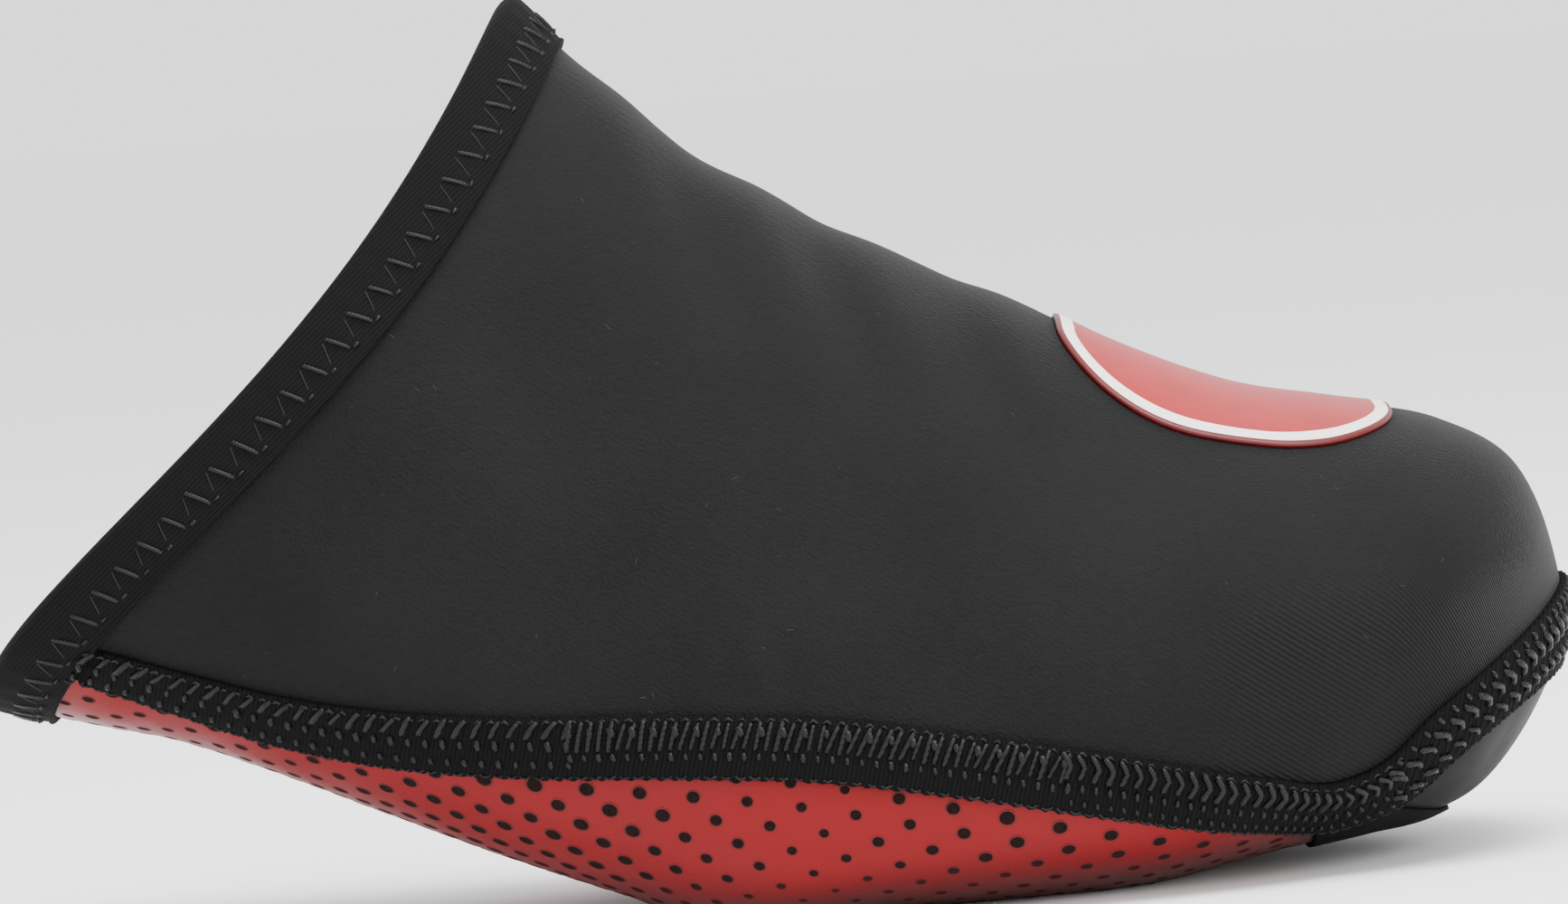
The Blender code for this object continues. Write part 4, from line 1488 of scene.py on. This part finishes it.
# %% [markdown]
# ## Lint
# Black fleece-backed cloth always holds a few pale fibres. They are thin bent hairs, and a
# tree scatters them over the upper with a fixed seed, so they lie the same way each time.

# %% Scatter the lint
def lint_tree():
    """Scatters hairs over a cloth, turned every way, longer or shorter."""
    tree = bpy.data.node_groups.new("lint", "GeometryNodeTree")
    start, end = tree_inputs(tree, (
        ("Density", "NodeSocketFloat", 7000.0),
        ("Shortest", "NodeSocketFloat", 0.5),
        ("Longest", "NodeSocketFloat", 1.2),
        ("Seed", "NodeSocketInt", 3),
        ("Hair", "NodeSocketObject", None),
        ("Fibre", "NodeSocketMaterial", None),
    ))
    points = add_node(tree, "GeometryNodeDistributePointsOnFaces",
                      {"Mesh": start.outputs["Geometry"], "Density": start.outputs["Density"],
                       "Seed": start.outputs["Seed"]}, {"distribute_method": "RANDOM"})
    spin = add_node(tree, "ShaderNodeCombineXYZ",
                    {"Z": random_number(tree, start, 0.0, 2 * math.pi, 1)})
    turned = add_node(tree, "FunctionNodeRotateRotation",
                      {"Rotation": points.outputs["Rotation"], "Rotate By": spin.outputs[0]},
                      {"rotation_space": "LOCAL"})
    share = random_number(tree, start, 0.0, 1.0, 2)
    size = add_node(tree, "ShaderNodeMapRange",
                    {0: share, 3: start.outputs["Shortest"], 4: start.outputs["Longest"]})
    set_copies(tree, end, points.outputs["Points"], turned.outputs["Rotation"],
               size.outputs[0], start.outputs["Hair"], start.outputs["Fibre"])
    return tree


hair = thread_shape("hair", [
    (-0.55, 0.10, 0.01), (-0.25, -0.04, 0.05), (0.05, 0.02, 0.06), (0.35, 0.14, 0.04),
    (0.55, 0.10, 0.01)], 0.022, 3)
fibre = start_finish("pale loose fibre", "4A4A4A", 0.7)[0]
bare_upper = bpy.data.objects.new("bare_upper", upper.data)
bpy.context.scene.collection.objects.link(bare_upper)
lint_mesh = run_tree(bare_upper, lint_tree(), {
    "Density": 6000.0, "Shortest": 0.3, "Longest": 0.8, "Seed": 3, "Hair": hair,
    "Fibre": fibre})
bpy.data.objects.remove(bare_upper)
lint = join_meshes("upper_lint", [lint_mesh])
print("lint:", len(lint.data.polygons), "faces")

# %% [markdown]
# ## Clearing up and handing over
# The single stitches, pits and hairs were only patterns for the trees, so they go. Then each
# finished piece is tied to the solid model: it rides on the root body, and the solid that
# it stands for is hidden.

# %% Clear the sewing shapes
for shape in [o for o in bpy.data.objects if o.name in (
        "chevron", "slant", "bead", "loop", "braid", "zig", "zag", "tie", "hair", "pit_floor",
        "pit_rim")]:
    bpy.data.objects.remove(shape)

# %% Hand the pieces over
def hand_over(thing, node):
    """Ties a finished piece to the solid model."""
    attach(thing, "root")
    if node:
        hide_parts(node)


hand_over(upper, "upper")
hand_over(sole, "sole")
hand_over(guard, "toe_guard")
hand_over(side_seam, "side_seam")
hand_over(fold, "toe_fold")
hand_over(binding, "collar_binding")
hand_over(patch, "toe_patch")
hand_over(seam_threads, None)
hand_over(binding_threads, None)
hand_over(pits, None)
hand_over(lint, None)
